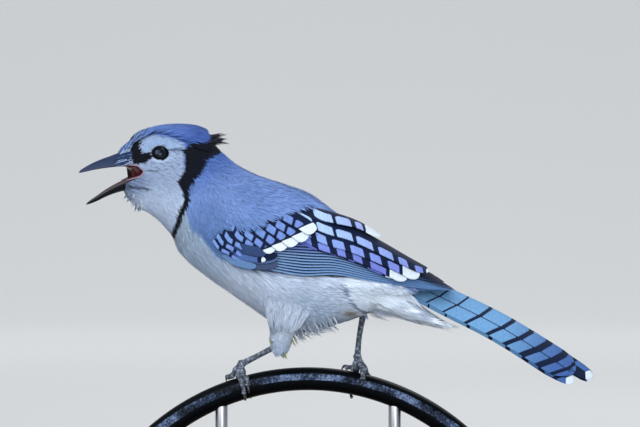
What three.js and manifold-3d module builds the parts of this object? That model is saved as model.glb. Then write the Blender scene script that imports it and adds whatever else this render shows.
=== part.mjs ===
// A life-size blue jay, calling with its bill open, on a cut length of curved iron rod that a
// plain display stand holds up. Millimetres, +Z up. The bird faces -X and shows its left side
// to -Y. The origin is the centre of the underside of the stand's base.
import * as THREE from "three";
import { mergeVertices } from "three/addons/utils/BufferGeometryUtils.js";
import Module from "manifold-3d";

const wasm = await Module();
wasm.setup();

// Driving sizes
const GAP = 0.3; // clearance between touching pieces
const SIDES = 20; // facets round the body
const STEPS = { head: 13, neck: 5, torso: 13 }; // facets along it
const BASE = { length: 180, width: 84, height: 12, corner: 14, bevel: 1.5 };
const PERCH_CLEARANCE = 5; // from the base to the cut ends of the perch
const PERCH = { radius: 112.5, wire: 5.6, halfAngle: THREE.MathUtils.degToRad(45), sides: 14, steps: 16 };
const STAND_ROD = { radius: 3, reach: 42 };
const BIRD_SHIFT = 5.8; // the bird's frame, ahead of the middle of the perch
const HEAD_TURN = THREE.MathUtils.degToRad(16); // the head looks a little to its left
const HEAD_PIVOT_X = -45;
const TAIL_ROLL = { root: THREE.MathUtils.degToRad(20), tip: THREE.MathUtils.degToRad(44) };
const EYE = { x: -80.3, z: 103.8, radius: 4.7, depth: 3.1 };
const LID = { radius: 4.0, inset: 0.55, width: 0.8, height: 0.7, around: 12, sides: 4 };

const endDrop = PERCH.radius * (1 - Math.cos(PERCH.halfAngle));
const endReach = PERCH.wire * (1 + Math.cos(PERCH.halfAngle));
const PERCH_TOP = BASE.height + PERCH_CLEARANCE + endDrop + endReach;

const lerp = THREE.MathUtils.lerp;
const smooth = THREE.MathUtils.smoothstep;
const vec = (x, y, z) => new THREE.Vector3(x, y, z);
const range = (count) => Array.from({ length: count }, (_, i) => i);
const share = (i, count) => (count > 1 ? i / (count - 1) : 0);

// Solids and booleans
function signedVolume(positions, index) {
  let sum = 0;
  const a = vec();
  const b = vec();
  const c = vec();
  for (let i = 0; i < index.length; i += 3) {
    a.fromArray(positions, 3 * index[i]);
    b.fromArray(positions, 3 * index[i + 1]);
    c.fromArray(positions, 3 * index[i + 2]);
    sum += a.dot(b.cross(c));
  }
  return sum / 6;
}

function solidOf(geometry) {
  const bare = new THREE.BufferGeometry().setAttribute("position", geometry.getAttribute("position"));
  if (geometry.index) bare.setIndex(geometry.index);
  const merged = mergeVertices(bare, 1e-4);
  const positions = merged.attributes.position.array;
  const index = new Uint32Array(merged.index.array);
  if (signedVolume(positions, index) < 0) {
    for (let i = 0; i < index.length; i += 3) [index[i], index[i + 1]] = [index[i + 1], index[i]];
  }
  const mesh = new wasm.Mesh({ numProp: 3, vertProperties: new Float32Array(positions), triVerts: index });
  return new wasm.Manifold(mesh);
}

function geometryOf(solid) {
  const mesh = solid.getMesh();
  return new THREE.BufferGeometry()
    .setAttribute("position", new THREE.BufferAttribute(new Float32Array(mesh.vertProperties), 3))
    .setIndex(new THREE.BufferAttribute(new Uint32Array(mesh.triVerts), 1));
}

const joined = (solids) => solids.reduce((sum, next) => sum.add(next));

function largest(solid) {
  return solid.decompose().sort((a, b) => b.volume() - a.volume())[0];
}

// A closed skin over rings of equal count, each end closed by a fan round the ring's middle.
function loft(rings) {
  const count = rings[0].length;
  const points = rings.flat();
  const index = [];
  for (let i = 0; i + 1 < rings.length; i++) {
    for (let j = 0; j < count; j++) {
      const a = i * count + j;
      const b = i * count + ((j + 1) % count);
      index.push(a, b, b + count, a, b + count, a + count);
    }
  }
  const cap = (ring, first, flip) => {
    const middle = ring.reduce((sum, p) => sum.add(p), vec(0, 0, 0)).divideScalar(count);
    const at = points.push(middle) - 1;
    for (let j = 0; j < count; j++) {
      const [a, b] = [first + j, first + ((j + 1) % count)];
      index.push(...(flip ? [at, b, a] : [at, a, b]));
    }
  };
  cap(rings[0], 0, true);
  cap(rings[rings.length - 1], (rings.length - 1) * count, false);
  const geometry = new THREE.BufferGeometry().setFromPoints(points);
  geometry.setIndex(index);
  return solidOf(geometry);
}

// A round limb along a curve through the given points, its radius a function of the way along.
function limb(points, radiusAt, steps, sides, flatten = 1) {
  const curve = new THREE.CatmullRomCurve3(points);
  const frames = curve.computeFrenetFrames(steps, false);
  const rings = range(steps + 1).map((i) => {
    const middle = curve.getPointAt(i / steps);
    const radius = radiusAt(i / steps);
    return range(sides).map((j) => {
      const turn = (2 * Math.PI * j) / sides;
      return middle
        .clone()
        .addScaledVector(frames.normals[i], radius * Math.cos(turn))
        .addScaledVector(frames.binormals[i], radius * flatten * Math.sin(turn));
    });
  });
  return loft(rings);
}

// A thin plate on a grid of middle points and normals, split into triangles alike on both faces.
// A grid point may carry a thickness of its own.
function plate(rows, thickness) {
  const across = rows[0].length;
  const points = [];
  const top = (i, j) => i * across + j;
  const bottom = (i, j) => (rows.length + i) * across + j;
  for (const side of [0.5, -0.5]) {
    for (const row of rows) {
      for (const { middle, normal, thick = thickness } of row) {
        points.push(middle.clone().addScaledVector(normal, side * thick));
      }
    }
  }
  const index = [];
  const quad = (a, b, c, d) => index.push(a, b, c, a, c, d);
  for (let i = 0; i + 1 < rows.length; i++) {
    for (let j = 0; j + 1 < across; j++) {
      quad(top(i, j), top(i, j + 1), top(i + 1, j + 1), top(i + 1, j));
      index.push(bottom(i, j), bottom(i + 1, j + 1), bottom(i, j + 1));
      index.push(bottom(i, j), bottom(i + 1, j), bottom(i + 1, j + 1));
    }
    quad(top(i, 0), top(i + 1, 0), bottom(i + 1, 0), bottom(i, 0));
    quad(top(i, across - 1), bottom(i, across - 1), bottom(i + 1, across - 1), top(i + 1, across - 1));
  }
  const last = rows.length - 1;
  for (let j = 0; j + 1 < across; j++) {
    quad(top(0, j), bottom(0, j), bottom(0, j + 1), top(0, j + 1));
    quad(top(last, j), top(last, j + 1), bottom(last, j + 1), bottom(last, j));
  }
  const geometry = new THREE.BufferGeometry().setFromPoints(points);
  geometry.setIndex(index);
  return solidOf(geometry);
}

// A feather: a plate along a shaft, widest over its middle and rounded or pointed at its tip.
const VANE_ROWS = [0, 0.42, 0.8, 0.95, 1];
const ROUND_TIP = [0.55, 1, 0.96, 0.6, 0.2];
const POINT_TIP = [0.6, 1, 0.62, 0.26, 0.1];
function vane({ shaft, width, thickness = 0.6, outline = ROUND_TIP, camber = 0, across = 1 }) {
  const step = 0.01;
  const grid = VANE_ROWS.map((way, i) => {
    const here = shaft(way);
    const ahead = shaft(Math.min(1, way + step)).point.clone().sub(shaft(Math.max(0, way - step)).point);
    const side = ahead.cross(here.normal).normalize();
    const half = 0.5 * width * outline[i];
    return range(across + 1).map((j) => {
      const offset = half * lerp(-1, 1, j / across);
      const middle = here.point.clone().addScaledVector(side, offset);
      middle.addScaledVector(here.normal, -camber * offset * offset);
      return { middle, normal: here.normal };
    });
  });
  return plate(grid, thickness);
}

// The body's form, from sections named by where the outline's top and bottom lie at the side
// (x, z above the perch), the half width, and how far down the section is widest.
const section = (topX, topZ, lowX, lowZ, halfWidth, widest = 0.5) => ({
  topX, topZ, lowX, lowZ, halfWidth, widest,
});
const FACE = [
  section(-97.6, 104.6, -94.6, 85.2, 5.4, 0.5),
  section(-94.4, 107.8, -92.0, 80.8, 8.8, 0.5),
  section(-89.8, 111.4, -87.8, 77.0, 11.8, 0.48),
  section(-83.6, 113.8, -82.4, 74.4, 14.2, 0.47),
  section(-76.3, 115.3, -77.6, 70.6, 15.8, 0.46),
  section(-68.8, 115.6, -74.0, 66.6, 16.6, 0.46),
  section(-60.8, 113.6, -71.6, 63.4, 17, 0.46),
];
const NECK = [
  section(-52.9, 108.6, -70.4, 60.6, 17.4, 0.47),
  section(-46.2, 103.4, -69.8, 58.4, 18.4, 0.48),
  section(-40.3, 98.8, -68.4, 55.4, 20, 0.49),
  section(-33.2, 95.0, -65.8, 52.2, 23, 0.5),
  section(-25.2, 91.8, -60.2, 47.4, 25.6, 0.5),
];
const CHEST = [
  section(-16.8, 89.2, -49.8, 39.8, 26.6, 0.5),
  section(-4.6, 84.6, -37, 30.8, 26.4, 0.5),
];
const RUMP = [
  section(6, 77, -22, 21, 26.2, 0.5),
  section(17.8, 67.5, -7, 16.4, 24.8, 0.5),
  section(30, 58.2, 7.8, 20.4, 21.4, 0.5),
  section(41, 50, 19.4, 24.2, 16.6, 0.5),
  section(47.4, 45.8, 27.4, 28, 13.4, 0.5),
];
const FOLDED_WINGS = [
  section(6.4, 77.5, -22, 21, 26.4, 0.5),
  section(20.6, 66.5, -5, 17, 25.4, 0.5),
  section(33, 58, 10, 20, 22.6, 0.5),
  section(45.2, 49, 25, 22, 18.6, 0.5),
  section(57.4, 41.4, 42, 22, 14, 0.5),
  section(70, 33, 60, 18, 9.4, 0.5),
  section(78, 27.6, 70, 14, 7.6, 0.5),
];
const [HEAD_END, NECK_END, TORSO_END] = [7.4, 10.2, 17.5]; // places of the cuts, in sections

function spline(values, way) {
  const i = Math.min(Math.max(Math.floor(way), 0), values.length - 2);
  const t = way - i;
  const at = (k) => values[Math.min(Math.max(k, 0), values.length - 1)];
  const [a, b, c, d] = [at(i - 1), at(i), at(i + 1), at(i + 2)];
  return b + 0.5 * t * (c - a + t * (2 * a - 5 * b + 4 * c - d + t * (3 * (b - c) + d - a)));
}

class Form {
  constructor(sections) {
    this.last = sections.length - 1;
    this.read = {};
    for (const key of Object.keys(sections[0])) this.read[key] = sections.map((s) => s[key]);
  }
  section(way) {
    const [topX, topZ, lowX, lowZ, halfWidth, widest] = Object.values(this.read).map((v) => spline(v, way));
    const depth = Math.hypot(topX - lowX, topZ - lowZ);
    const up = vec((topX - lowX) / depth, 0, (topZ - lowZ) / depth);
    const middle = vec(lerp(topX, lowX, widest), 0, lerp(topZ, lowZ, widest));
    return { up, middle, upper: depth * widest, lower: depth * (1 - widest), halfWidth };
  }
  // A point of the surface, turn 0 at the back, half a turn at the belly, positive to the left.
  point(way, turn, lift = 0) {
    const s = this.section(way);
    const height = Math.cos(turn) > 0 ? s.upper : s.lower;
    const outward = vec(0, -Math.sin(turn) / s.halfWidth, 0).addScaledVector(s.up, Math.cos(turn) / height);
    return s.middle
      .clone()
      .addScaledVector(s.up, height * Math.cos(turn))
      .add(vec(0, -s.halfWidth * Math.sin(turn), 0))
      .addScaledVector(outward.normalize(), lift);
  }
  normal(way, turn) {
    const step = 0.02;
    const forward = this.point(way + step, turn).sub(this.point(way - step, turn));
    const around = this.point(way, turn + step).sub(this.point(way, turn - step));
    return forward.cross(around).normalize().negate();
  }
  // Where a place on the side view lies on the left of the form.
  place([x, z], from = 0) {
    const beside = (way) => {
      const s = this.section(way);
      return (x - s.middle.x) * s.up.z - (z - s.middle.z) * s.up.x;
    };
    let [low, high] = [from, this.last];
    for (let k = 0; k < 40; k++) {
      const way = (low + high) / 2;
      if (beside(way) > 0) low = way;
      else high = way;
    }
    const s = this.section(low);
    const rise = (x - s.middle.x) * s.up.x + (z - s.middle.z) * s.up.z;
    const cosine = rise / (rise > 0 ? s.upper : s.lower);
    return { way: low, turn: Math.acos(Math.min(Math.max(cosine, -0.995), 0.995)) };
  }
  ring(way, sides, lift = 0) {
    return range(sides).map((j) => this.point(way, (2 * Math.PI * j) / sides, lift));
  }
}
const BODY = new Form([...FACE, ...NECK, ...CHEST, ...RUMP]);
const WINGED = new Form([...FACE, ...NECK, ...CHEST, ...FOLDED_WINGS]);

// A length of the body, its end faces square to the sections there, on the surface or above it.
const LENGTHS = { head: [0, HEAD_END], neck: [HEAD_END, NECK_END], torso: [NECK_END, TORSO_END] };
function bodyLength(name, lift = 0) {
  const [from, to] = LENGTHS[name];
  const rings = range(STEPS[name] + 1).map((i) => BODY.ring(lerp(from, to, i / STEPS[name]), SIDES, lift));
  if (from > 0 && lift === 0) {
    const { up } = BODY.section(from);
    for (const p of rings[0]) p.add(vec(up.z, 0, -up.x).multiplyScalar(1.25 * GAP));
  }
  return loft(rings);
}

// The head's turn fades out down the neck, along a line square to the neck's sections.
const NECK_LINE = { x: 0.86, z: -0.51, turned: -104, still: -72 };
function turnHead(p) {
  const along = NECK_LINE.x * p.x + NECK_LINE.z * p.z;
  const angle = HEAD_TURN * (1 - smooth(along, NECK_LINE.turned, NECK_LINE.still));
  const x = (p.x - HEAD_PIVOT_X) / Math.cos(angle); // the side view keeps its lengths
  return vec(
    HEAD_PIVOT_X + x * Math.cos(angle) - p.y * Math.sin(angle),
    x * Math.sin(angle) + p.y * Math.cos(angle),
    p.z,
  );
}

function moved(solid, rule) {
  const geometry = geometryOf(solid);
  const position = geometry.getAttribute("position");
  for (let i = 0; i < position.count; i++) {
    const p = rule(vec().fromBufferAttribute(position, i));
    position.setXYZ(i, p.x, p.y, p.z);
  }
  return geometry;
}
const otherSide = (solid) => solidOf(moved(solid, (p) => vec(p.x, -p.y, p.z)));

// Head, with its open gape, eye sockets, lids and the bristles over the nostrils
const GAPE = { x: -88.2, z: 94.2, cutHalf: 20 };
const GAPE_OUTLINE = [[GAPE.x, GAPE.z], [-93, 96.9], [-100, 97.2], [-100, 88], [-92.5, 91.4]];
const THROAT_POCKET = { halves: [9.5, 5.6, 4.2], tilt: 0.25, ahead: 2.2, below: 0.7 };
function gapeCut() {
  const outline = new THREE.Shape(GAPE_OUTLINE.map(([x, z]) => new THREE.Vector2(x, z)));
  const wedge = new THREE.ExtrudeGeometry(outline, { depth: 2 * GAPE.cutHalf, bevelEnabled: false });
  wedge.rotateX(Math.PI / 2);
  wedge.translate(0, GAPE.cutHalf, 0);
  const pocket = new THREE.SphereGeometry(1, 10, 6);
  pocket.scale(...THROAT_POCKET.halves);
  pocket.rotateY(THROAT_POCKET.tilt);
  pocket.translate(GAPE.x - THROAT_POCKET.ahead, 0, GAPE.z - THROAT_POCKET.below);
  return solidOf(wedge).add(solidOf(pocket));
}

const headWidthAt = (x, z) => {
  const at = BODY.place([x, z]);
  return -BODY.point(at.way, at.turn).y;
};
const eyeCentre = () => vec(EYE.x, -(headWidthAt(EYE.x, EYE.z) - EYE.depth), EYE.z);
function eyeBall(radius, around = 12, along = 8) {
  const ball = new THREE.SphereGeometry(radius, around, along);
  ball.rotateX(Math.PI / 2);
  const { x, y, z } = eyeCentre();
  ball.translate(x, y, z);
  return solidOf(ball);
}

function lidRing() {
  const centre = eyeCentre();
  const place = BODY.place([EYE.x, EYE.z]);
  const normal = BODY.normal(place.way, place.turn);
  const side = vec(1, 0, 0).cross(normal).normalize();
  const ahead = normal.clone().cross(side);
  const out = Math.sqrt((EYE.radius + GAP) ** 2 - LID.radius ** 2);
  const { around, sides } = LID;
  const rings = range(around).map((i) => {
    const turn = (2 * Math.PI * i) / around;
    const away = ahead.clone().multiplyScalar(Math.cos(turn)).addScaledVector(side, Math.sin(turn));
    const middle = centre.clone().addScaledVector(normal, out).addScaledVector(away, LID.radius + LID.inset);
    return range(sides).map((j) => {
      const round = (2 * Math.PI * j) / sides;
      return middle
        .clone()
        .addScaledVector(away, LID.width * Math.cos(round))
        .addScaledVector(normal, LID.height * Math.sin(round));
    });
  });
  const points = rings.flat();
  const index = [];
  for (let i = 0; i < around; i++) {
    for (let j = 0; j < sides; j++) {
      const [a, b] = [i * sides + j, i * sides + ((j + 1) % sides)];
      const [c, d] = [((i + 1) % around) * sides + j, ((i + 1) % around) * sides + ((j + 1) % sides)];
      index.push(a, b, d, a, d, c);
    }
  }
  const geometry = new THREE.BufferGeometry().setFromPoints(points);
  geometry.setIndex(index);
  return solidOf(geometry);
}

// A shaft between two places of the side view that lies over a form, rising from lift to lift.
function shaftOver(form, root, tip, lifts, from) {
  const a = form.place(root, from);
  const b = form.place(tip, from);
  return (t) => {
    const way = lerp(a.way, b.way, t);
    const turn = lerp(a.turn, b.turn, t);
    const lift = lerp(lifts[0], lifts[1], t);
    return { point: form.point(way, turn, lift), normal: form.normal(way, turn) };
  };
}

const BRISTLES = { count: 3, length: 10, width: 3 };
function bristle(i) {
  const t = share(i, BRISTLES.count);
  const root = [lerp(-89.5, -91.5, t), lerp(106.5, 98.6, t)];
  const tip = [root[0] - BRISTLES.length * 0.86, root[1] - lerp(4.6, 0.6, t)];
  const outward = lerp(0.6, 1, t);
  const shaft = (s) => {
    const half = lerp(headWidthAt(...root) - 0.4, lerp(3.6, 4.9, t), s);
    const point = vec(lerp(root[0], tip[0], s), -half, lerp(root[1], tip[1], s));
    return { point, normal: vec(-0.25, -outward, 1 - outward).normalize() };
  };
  return vane({ shaft, width: BRISTLES.width, outline: POINT_TIP, thickness: 0.7 });
}

function headSolid() {
  const lids = lidRing();
  const tufts = joined(range(BRISTLES.count).map(bristle));
  const left = lids.add(tufts);
  const right = otherSide(left);
  const sockets = eyeBall((EYE.radius + GAP) * 1.09, 10, 6); // its flats clear the eye's ball
  const bothSockets = sockets.add(otherSide(sockets));
  const skull = bodyLength("head").subtract(gapeCut());
  return largest(skull.add(left).add(right).subtract(bothSockets).subtract(billBlock(1.4 * GAP)));
}

// Bill: two horn sheaths, each a half round section that tapers to its tip
const BILL_SIDES = 14;
const BILL_HOLLOW = 0.3; // how far the inner faces bulge, as a share of the height
function sheath(rows, sides, grow = 0) {
  const rings = rows.map(({ x: along, ridge, edge, halfWidth }, i) =>
    range(sides).map((j) => {
      const x = along + (i === 0 ? 1.1 * grow : 0);
      const turn = (2 * Math.PI * j) / sides;
      const rise = Math.cos(turn);
      const [toRidge, hollow] = [ridge - edge, grow > 0 ? 0 : BILL_HOLLOW];
      const height = (rise > 0 ? toRidge : -hollow * toRidge) + grow * Math.sign(toRidge);
      return vec(x, -(halfWidth + grow) * Math.sin(turn), edge + height * rise);
    }),
  );
  return loft(rings);
}
const billRow = (x, ridge, edge, halfWidth) => ({ x, ridge, edge, halfWidth });
const UPPER_BILL = [
  billRow(-92.6, 104.8, 97.3, 5.2),
  billRow(-96.5, 104.0, 97.2, 4.8),
  billRow(-101, 102.3, 96.8, 4.0),
  billRow(-105.6, 100.6, 96.2, 3.1),
  billRow(-109.8, 98.7, 95.4, 2.2),
  billRow(-113.2, 96.8, 94.6, 1.2),
  billRow(-116.2, 94.7, 94.1, 0.35),
];
const LOWER_BILL = [
  billRow(-90.2, 86.0, 92.2, 5.1),
  billRow(-94.8, 85.4, 90.3, 4.7),
  billRow(-99.4, 84.1, 88.0, 3.8),
  billRow(-103.6, 82.4, 85.5, 2.9),
  billRow(-107.0, 80.7, 83.2, 2.0),
  billRow(-109.8, 79.5, 81.4, 1.1),
  billRow(-112.7, 78.5, 79.2, 0.35),
];
const upperBill = (grow = 0) => sheath(UPPER_BILL, BILL_SIDES, grow);
const lowerBill = (grow = 0) => sheath(LOWER_BILL, BILL_SIDES, grow);
const billBlock = (grow) => upperBill(grow).add(lowerBill(grow));

// Crest and crown feathers on a thin cap over the skull, and the tufts at its back
const CREST = { rows: 3, perRow: 3, width: 8, reach: 21 };
const TUFTS = [
  { tip: vec(-46.4, -2.6, 113.4), way: 6.5, turn: 0.16 },
  { tip: vec(-45.6, -4.4, 109.2), way: 6.7, turn: 0.5 },
  { tip: vec(-46.8, 3.4, 111.4), way: 6.6, turn: -0.34 },
];
function crestSolid() {
  const cap = plate(range(5).map((i) => {
    const way = lerp(1.7, 7.1, i / 4);
    const half = 0.8 * Math.sin(Math.PI * lerp(0.18, 0.8, i / 4));
    return range(4).map((j) => {
      const turn = half * lerp(-1, 1, j / 3);
      return { middle: BODY.point(way, turn, GAP + 1), normal: BODY.normal(way, turn) };
    });
  }), 0.9);
  const feathers = [];
  for (const row of range(CREST.rows)) {
    const back = share(row, CREST.rows);
    for (const i of range(CREST.perRow)) {
      const fan = lerp(-1, 1, share(i, CREST.perRow));
      const way = lerp(2.9, 6.1, back);
      const turn = fan * lerp(0.44, 0.56, back);
      const root = BODY.point(way, turn, 1.5);
      const normal = BODY.normal(way, turn);
      const droop = lerp(0.02, 0.3, back) + 0.12 * Math.abs(fan);
      const reach = CREST.reach * lerp(1, 0.62, back) * (1 - 0.12 * Math.abs(fan));
      const shaft = (t) => ({
        point: root
          .clone()
          .add(vec(reach * t, -fan * 1.2 * t, -reach * droop * t * t))
          .addScaledVector(normal, 2.4 * Math.sin(0.5 * Math.PI * t) + 0.3 * row * (1 - t)),
        normal: normal.clone().lerp(vec(0.3, -0.35 * fan, 0.9), t).normalize(),
      });
      feathers.push(vane({ shaft, width: CREST.width, outline: POINT_TIP, thickness: 0.6 }));
    }
  }
  for (const { tip, way, turn } of TUFTS) {
    const root = BODY.point(way, turn, 1);
    const normal = BODY.normal(way, turn);
    const shaft = (t) => ({ point: root.clone().lerp(tip, t).addScaledVector(normal, 0.8 * t * (1 - t)), normal });
    feathers.push(vane({ shaft, width: 5, outline: POINT_TIP, thickness: 0.7 }));
  }
  const raised = bodyLength("head", 1.2 * GAP).add(bodyLength("neck", GAP));
  return largest(joined([cap, ...feathers]).subtract(raised));
}

// Wings, folded: tiers of vanes rooted in a thin shield over the arm
const SHIELD = { from: 11, to: 13.6, clearance: 0.5, front: 1, back: 3.8 };
function shield() {
  return plate(range(6).map((i) => {
    const way = lerp(SHIELD.from, SHIELD.to, i / 5);
    const half = 0.62 * Math.sin(Math.PI * lerp(0.2, 0.78, i / 5));
    const thick = lerp(SHIELD.front, SHIELD.back, smooth(i, 0, 4));
    return range(6).map((j) => {
      const turn = lerp(1.32, 1.12, i / 5) + half * lerp(-1, 1, j / 5);
      const middle = WINGED.point(way, turn, SHIELD.clearance + thick / 2);
      return { middle, normal: WINGED.normal(way, turn), thick };
    });
  }));
}
// Each tier runs between a first and a last feather, by the places of their roots and tips, in the
// order primaries, secondaries, tertials, bastard wing, primary, greater and median coverts.
const TIERS = [
  { count: 6, width: 4.4, lifts: [1.1, 1.1], rise: 0.52,
    roots: [[-25, 52], [-15, 60]], tips: [[49, 40], [59, 43]], stretch: 8 },
  { count: 4, width: 7.4, lifts: [3.2, 3.4], rise: 0.54,
    roots: [[-19, 58], [-9, 63]], tips: [[33, 44.4], [48, 46.6]], stretch: 0 },
  { count: 3, width: 11, lifts: [4, 5.2], rise: 0.55,
    roots: [[-10, 63], [-8, 69]], tips: [[40, 51.4], [27, 60.6]], stretch: 2 },
  { count: 1, width: 6, lifts: [1.8, 3], rise: 0,
    roots: [[-40, 55.4], [-40, 55.4]], tips: [[-27, 51.6], [-27, 51.6]], stretch: 0 },
  { count: 3, width: 5.4, lifts: [3, 4.6], rise: 0.5,
    roots: [[-36, 54], [-31, 58]], tips: [[-20.5, 49.8], [-18, 55.6]], stretch: 0 },
  { count: 6, width: 7, lifts: [2.6, 5.2], rise: 0.25,
    roots: [[-40, 58.2], [-15, 72.5]], tips: [[-26.4, 55.4], [-4.5, 68.6]], stretch: 1.5 },
  { count: 5, width: 8.4, lifts: [1.3, 4.4], rise: 0.2,
    roots: [[-47, 62], [-21, 76]], tips: [[-38.5, 60.4], [-15, 73.6]], stretch: 0.8 },
];
const WING_START = 9;
function wingFeather(tier, i, spread) {
  const t = share(i, tier.count);
  const mix = ([a, b]) => [lerp(a[0], b[0], t), lerp(a[1], b[1], t)];
  const tip = mix(tier.tips);
  tip[0] += tier.stretch * Math.sin(Math.PI * t);
  tip[1] -= 0.5 * tier.stretch * Math.sin(Math.PI * t);
  const beyond = smooth(tip[0], 40, 72);
  const lifts = [tier.lifts[0] + tier.rise * i, tier.lifts[1] + tier.rise * i + spread * beyond];
  const shaft = shaftOver(WINGED, mix(tier.roots), tip, lifts, WING_START);
  return vane({ shaft, width: tier.width, thickness: 0.5 });
}
function wingSolid(spread) {
  const feathers = TIERS.flatMap((tier) => range(tier.count).map((i) => wingFeather(tier, i, spread)));
  const body = bodyLength("torso", GAP);
  return largest(joined([shield(), ...feathers]).subtract(body).subtract(tailSheath(GAP)));
}

// Tail: twelve feathers in two halves that lie under the middle pair, on a fleshy root
const TAIL_LINE = [vec(40, 0, 44), vec(65.6, 0, 32.4), vec(88, 0, 20.6), vec(112, 0, 5), vec(131, 0, -8)];
const TAIL = { thickness: 0.55, arch: 0.006, step: 0.64, narrow: 10.4, broad: 18, rightLonger: 2.6 };
const TAIL_REACH = [103, 102.5, 102, 100.5, 98.5, 96]; // of each pair, from the middle outwards
const tailCurve = new THREE.CatmullRomCurve3(TAIL_LINE);
const tailLength = tailCurve.getLength();
function tailPoint(along, aside, lift) {
  const way = Math.min(Math.max(along / tailLength, 0), 1);
  const middle = tailCurve.getPointAt(way);
  const ahead = tailCurve.getTangentAt(way);
  middle.addScaledVector(ahead, along - way * tailLength);
  const up = vec(-ahead.z, 0, ahead.x);
  const roll = lerp(TAIL_ROLL.root, TAIL_ROLL.tip, way);
  const left = vec(0, -Math.cos(roll), 0).addScaledVector(up, -Math.sin(roll));
  const over = up.clone().multiplyScalar(Math.cos(roll)).add(vec(0, -Math.sin(roll), 0));
  const point = middle.addScaledVector(left, aside).addScaledVector(over, lift - TAIL.arch * aside * aside);
  return { point, normal: over.addScaledVector(left, 2 * TAIL.arch * aside).normalize() };
}
function tailFeather(pair, side) {
  const middle = pair === 0;
  const reach = TAIL_REACH[pair] + (side < 0 ? TAIL.rightLonger : 0);
  const aside = (t) => (middle ? 0.9 * side : side * lerp(5.5, 5.9, t));
  const level = middle ? (side > 0 ? 0 : 1) : pair + 1;
  const shaft = (t) => tailPoint(1.2 + (reach - 1.2) * t, aside(t), -TAIL.step * level);
  const width = middle ? TAIL.broad : TAIL.narrow;
  return vane({ shaft, width, camber: TAIL.arch, across: middle ? 2 : 1, thickness: TAIL.thickness });
}
function tailBlock(from, to, halfWidths, above, below, grow, steps = 6) {
  const rings = range(steps + 1).map((i) => {
    const t = i / steps;
    const along = lerp(from, to, t);
    const half = lerp(halfWidths[0], halfWidths[1], t) + grow;
    const [over, under] = [lerp(above[0], above[1], t) + grow, -lerp(below[0], below[1], t) - grow];
    const upper = range(5).map((j) => tailPoint(along, half * lerp(1, -1, j / 4), over));
    const lower = range(5).map((j) => tailPoint(along, half * lerp(-1, 1, j / 4), under));
    return [...upper, ...lower].map((p) => p.point);
  });
  return loft(rings);
}
const tailSheath = (grow) => tailBlock(-8, 112, [11.6, 12], [1.6, 0.8], [5.2, 4.8], grow, 8);
function beyondRump(gap) {
  const s = BODY.section(TORSO_END);
  const back = vec(s.up.z, 0, -s.up.x);
  return { normal: [back.x, back.y, back.z], offset: back.dot(s.middle) + gap };
}
function tailSolid() {
  const feathers = [];
  for (const side of [1, -1]) for (const pair of range(TAIL_REACH.length)) feathers.push(tailFeather(pair, side));
  const root = tailBlock(-6, 14, [10, 10.4], [1.2, 0.4], [4.8, 4.1], 0, 3);
  const { normal, offset } = beyondRump(GAP);
  const coverts = range(3).map((i) => {
    const fan = i - 1;
    const shaft = (t) => tailPoint(lerp(5, 25 - 4 * Math.abs(fan), t), fan * 6, lerp(0.5, 1.3, Math.sqrt(t)) + 0.3 * fan);
    return vane({ shaft, width: 7.6 });
  });
  return largest(joined([root, ...feathers, ...coverts]).trimByPlane(normal, offset));
}

// Undertail coverts: loose white feathers on a tapered core below the tail's root
const VENT_CORE = [
  { x: 24, z: 36, halfWidth: 13, halfDepth: 12 },
  { x: 34, z: 34.6, halfWidth: 12.6, halfDepth: 9.2 },
  { x: 44, z: 30.6, halfWidth: 10.6, halfDepth: 7 },
  { x: 54, z: 25.6, halfWidth: 7.6, halfDepth: 4.4 },
  { x: 61, z: 21.8, halfWidth: 3.6, halfDepth: 1.8 },
];
const VENT_FEATHERS = { rows: 3, perRow: 3, width: 8, length: 18 };
function ventSolid() {
  const tilt = -0.42;
  const around = (row, turn) =>
    vec(row.x, 0, row.z)
      .add(vec(-Math.sin(tilt), 0, Math.cos(tilt)).multiplyScalar(row.halfDepth * Math.cos(turn)))
      .add(vec(0, -row.halfWidth * Math.sin(turn), 0));
  const core = loft(VENT_CORE.map((row) => range(12).map((j) => around(row, (2 * Math.PI * j) / 12))));
  const feathers = [];
  for (const r of range(VENT_FEATHERS.rows)) {
    for (const i of range(VENT_FEATHERS.perRow)) {
      const row = VENT_CORE[r + 1];
      const turn = Math.PI + lerp(-1, 1, share(i, VENT_FEATHERS.perRow)) * 1.35;
      const root = around(row, turn);
      const outward = vec(0, -Math.sin(turn), 0).add(vec(0.2, 0, 0.9).multiplyScalar(Math.cos(turn))).normalize();
      const inward = vec(0, 1, 0).multiplyScalar(Math.sin(turn));
      const length = VENT_FEATHERS.length * lerp(0.8, 1, r / 2) * (1 - 0.25 * Math.abs(Math.sin(turn)));
      const shaft = (t) => ({
        point: root
          .clone()
          .addScaledVector(outward, lerp(-1, 0.6, Math.sqrt(t)))
          .addScaledVector(inward, 3.4 * t * t)
          .add(vec(0.94 * length * t, 0, -0.22 * length * t - 0.02 * length * (1 + Math.cos(turn)) * t)),
        normal: outward,
      });
      feathers.push(vane({ shaft, width: VENT_FEATHERS.width, outline: POINT_TIP, thickness: 0.7 }));
    }
  }
  const { normal, offset } = beyondRump(GAP);
  return largest(joined([core, ...feathers]).trimByPlane(normal, offset).subtract(tailSheath(GAP)));
}

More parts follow.
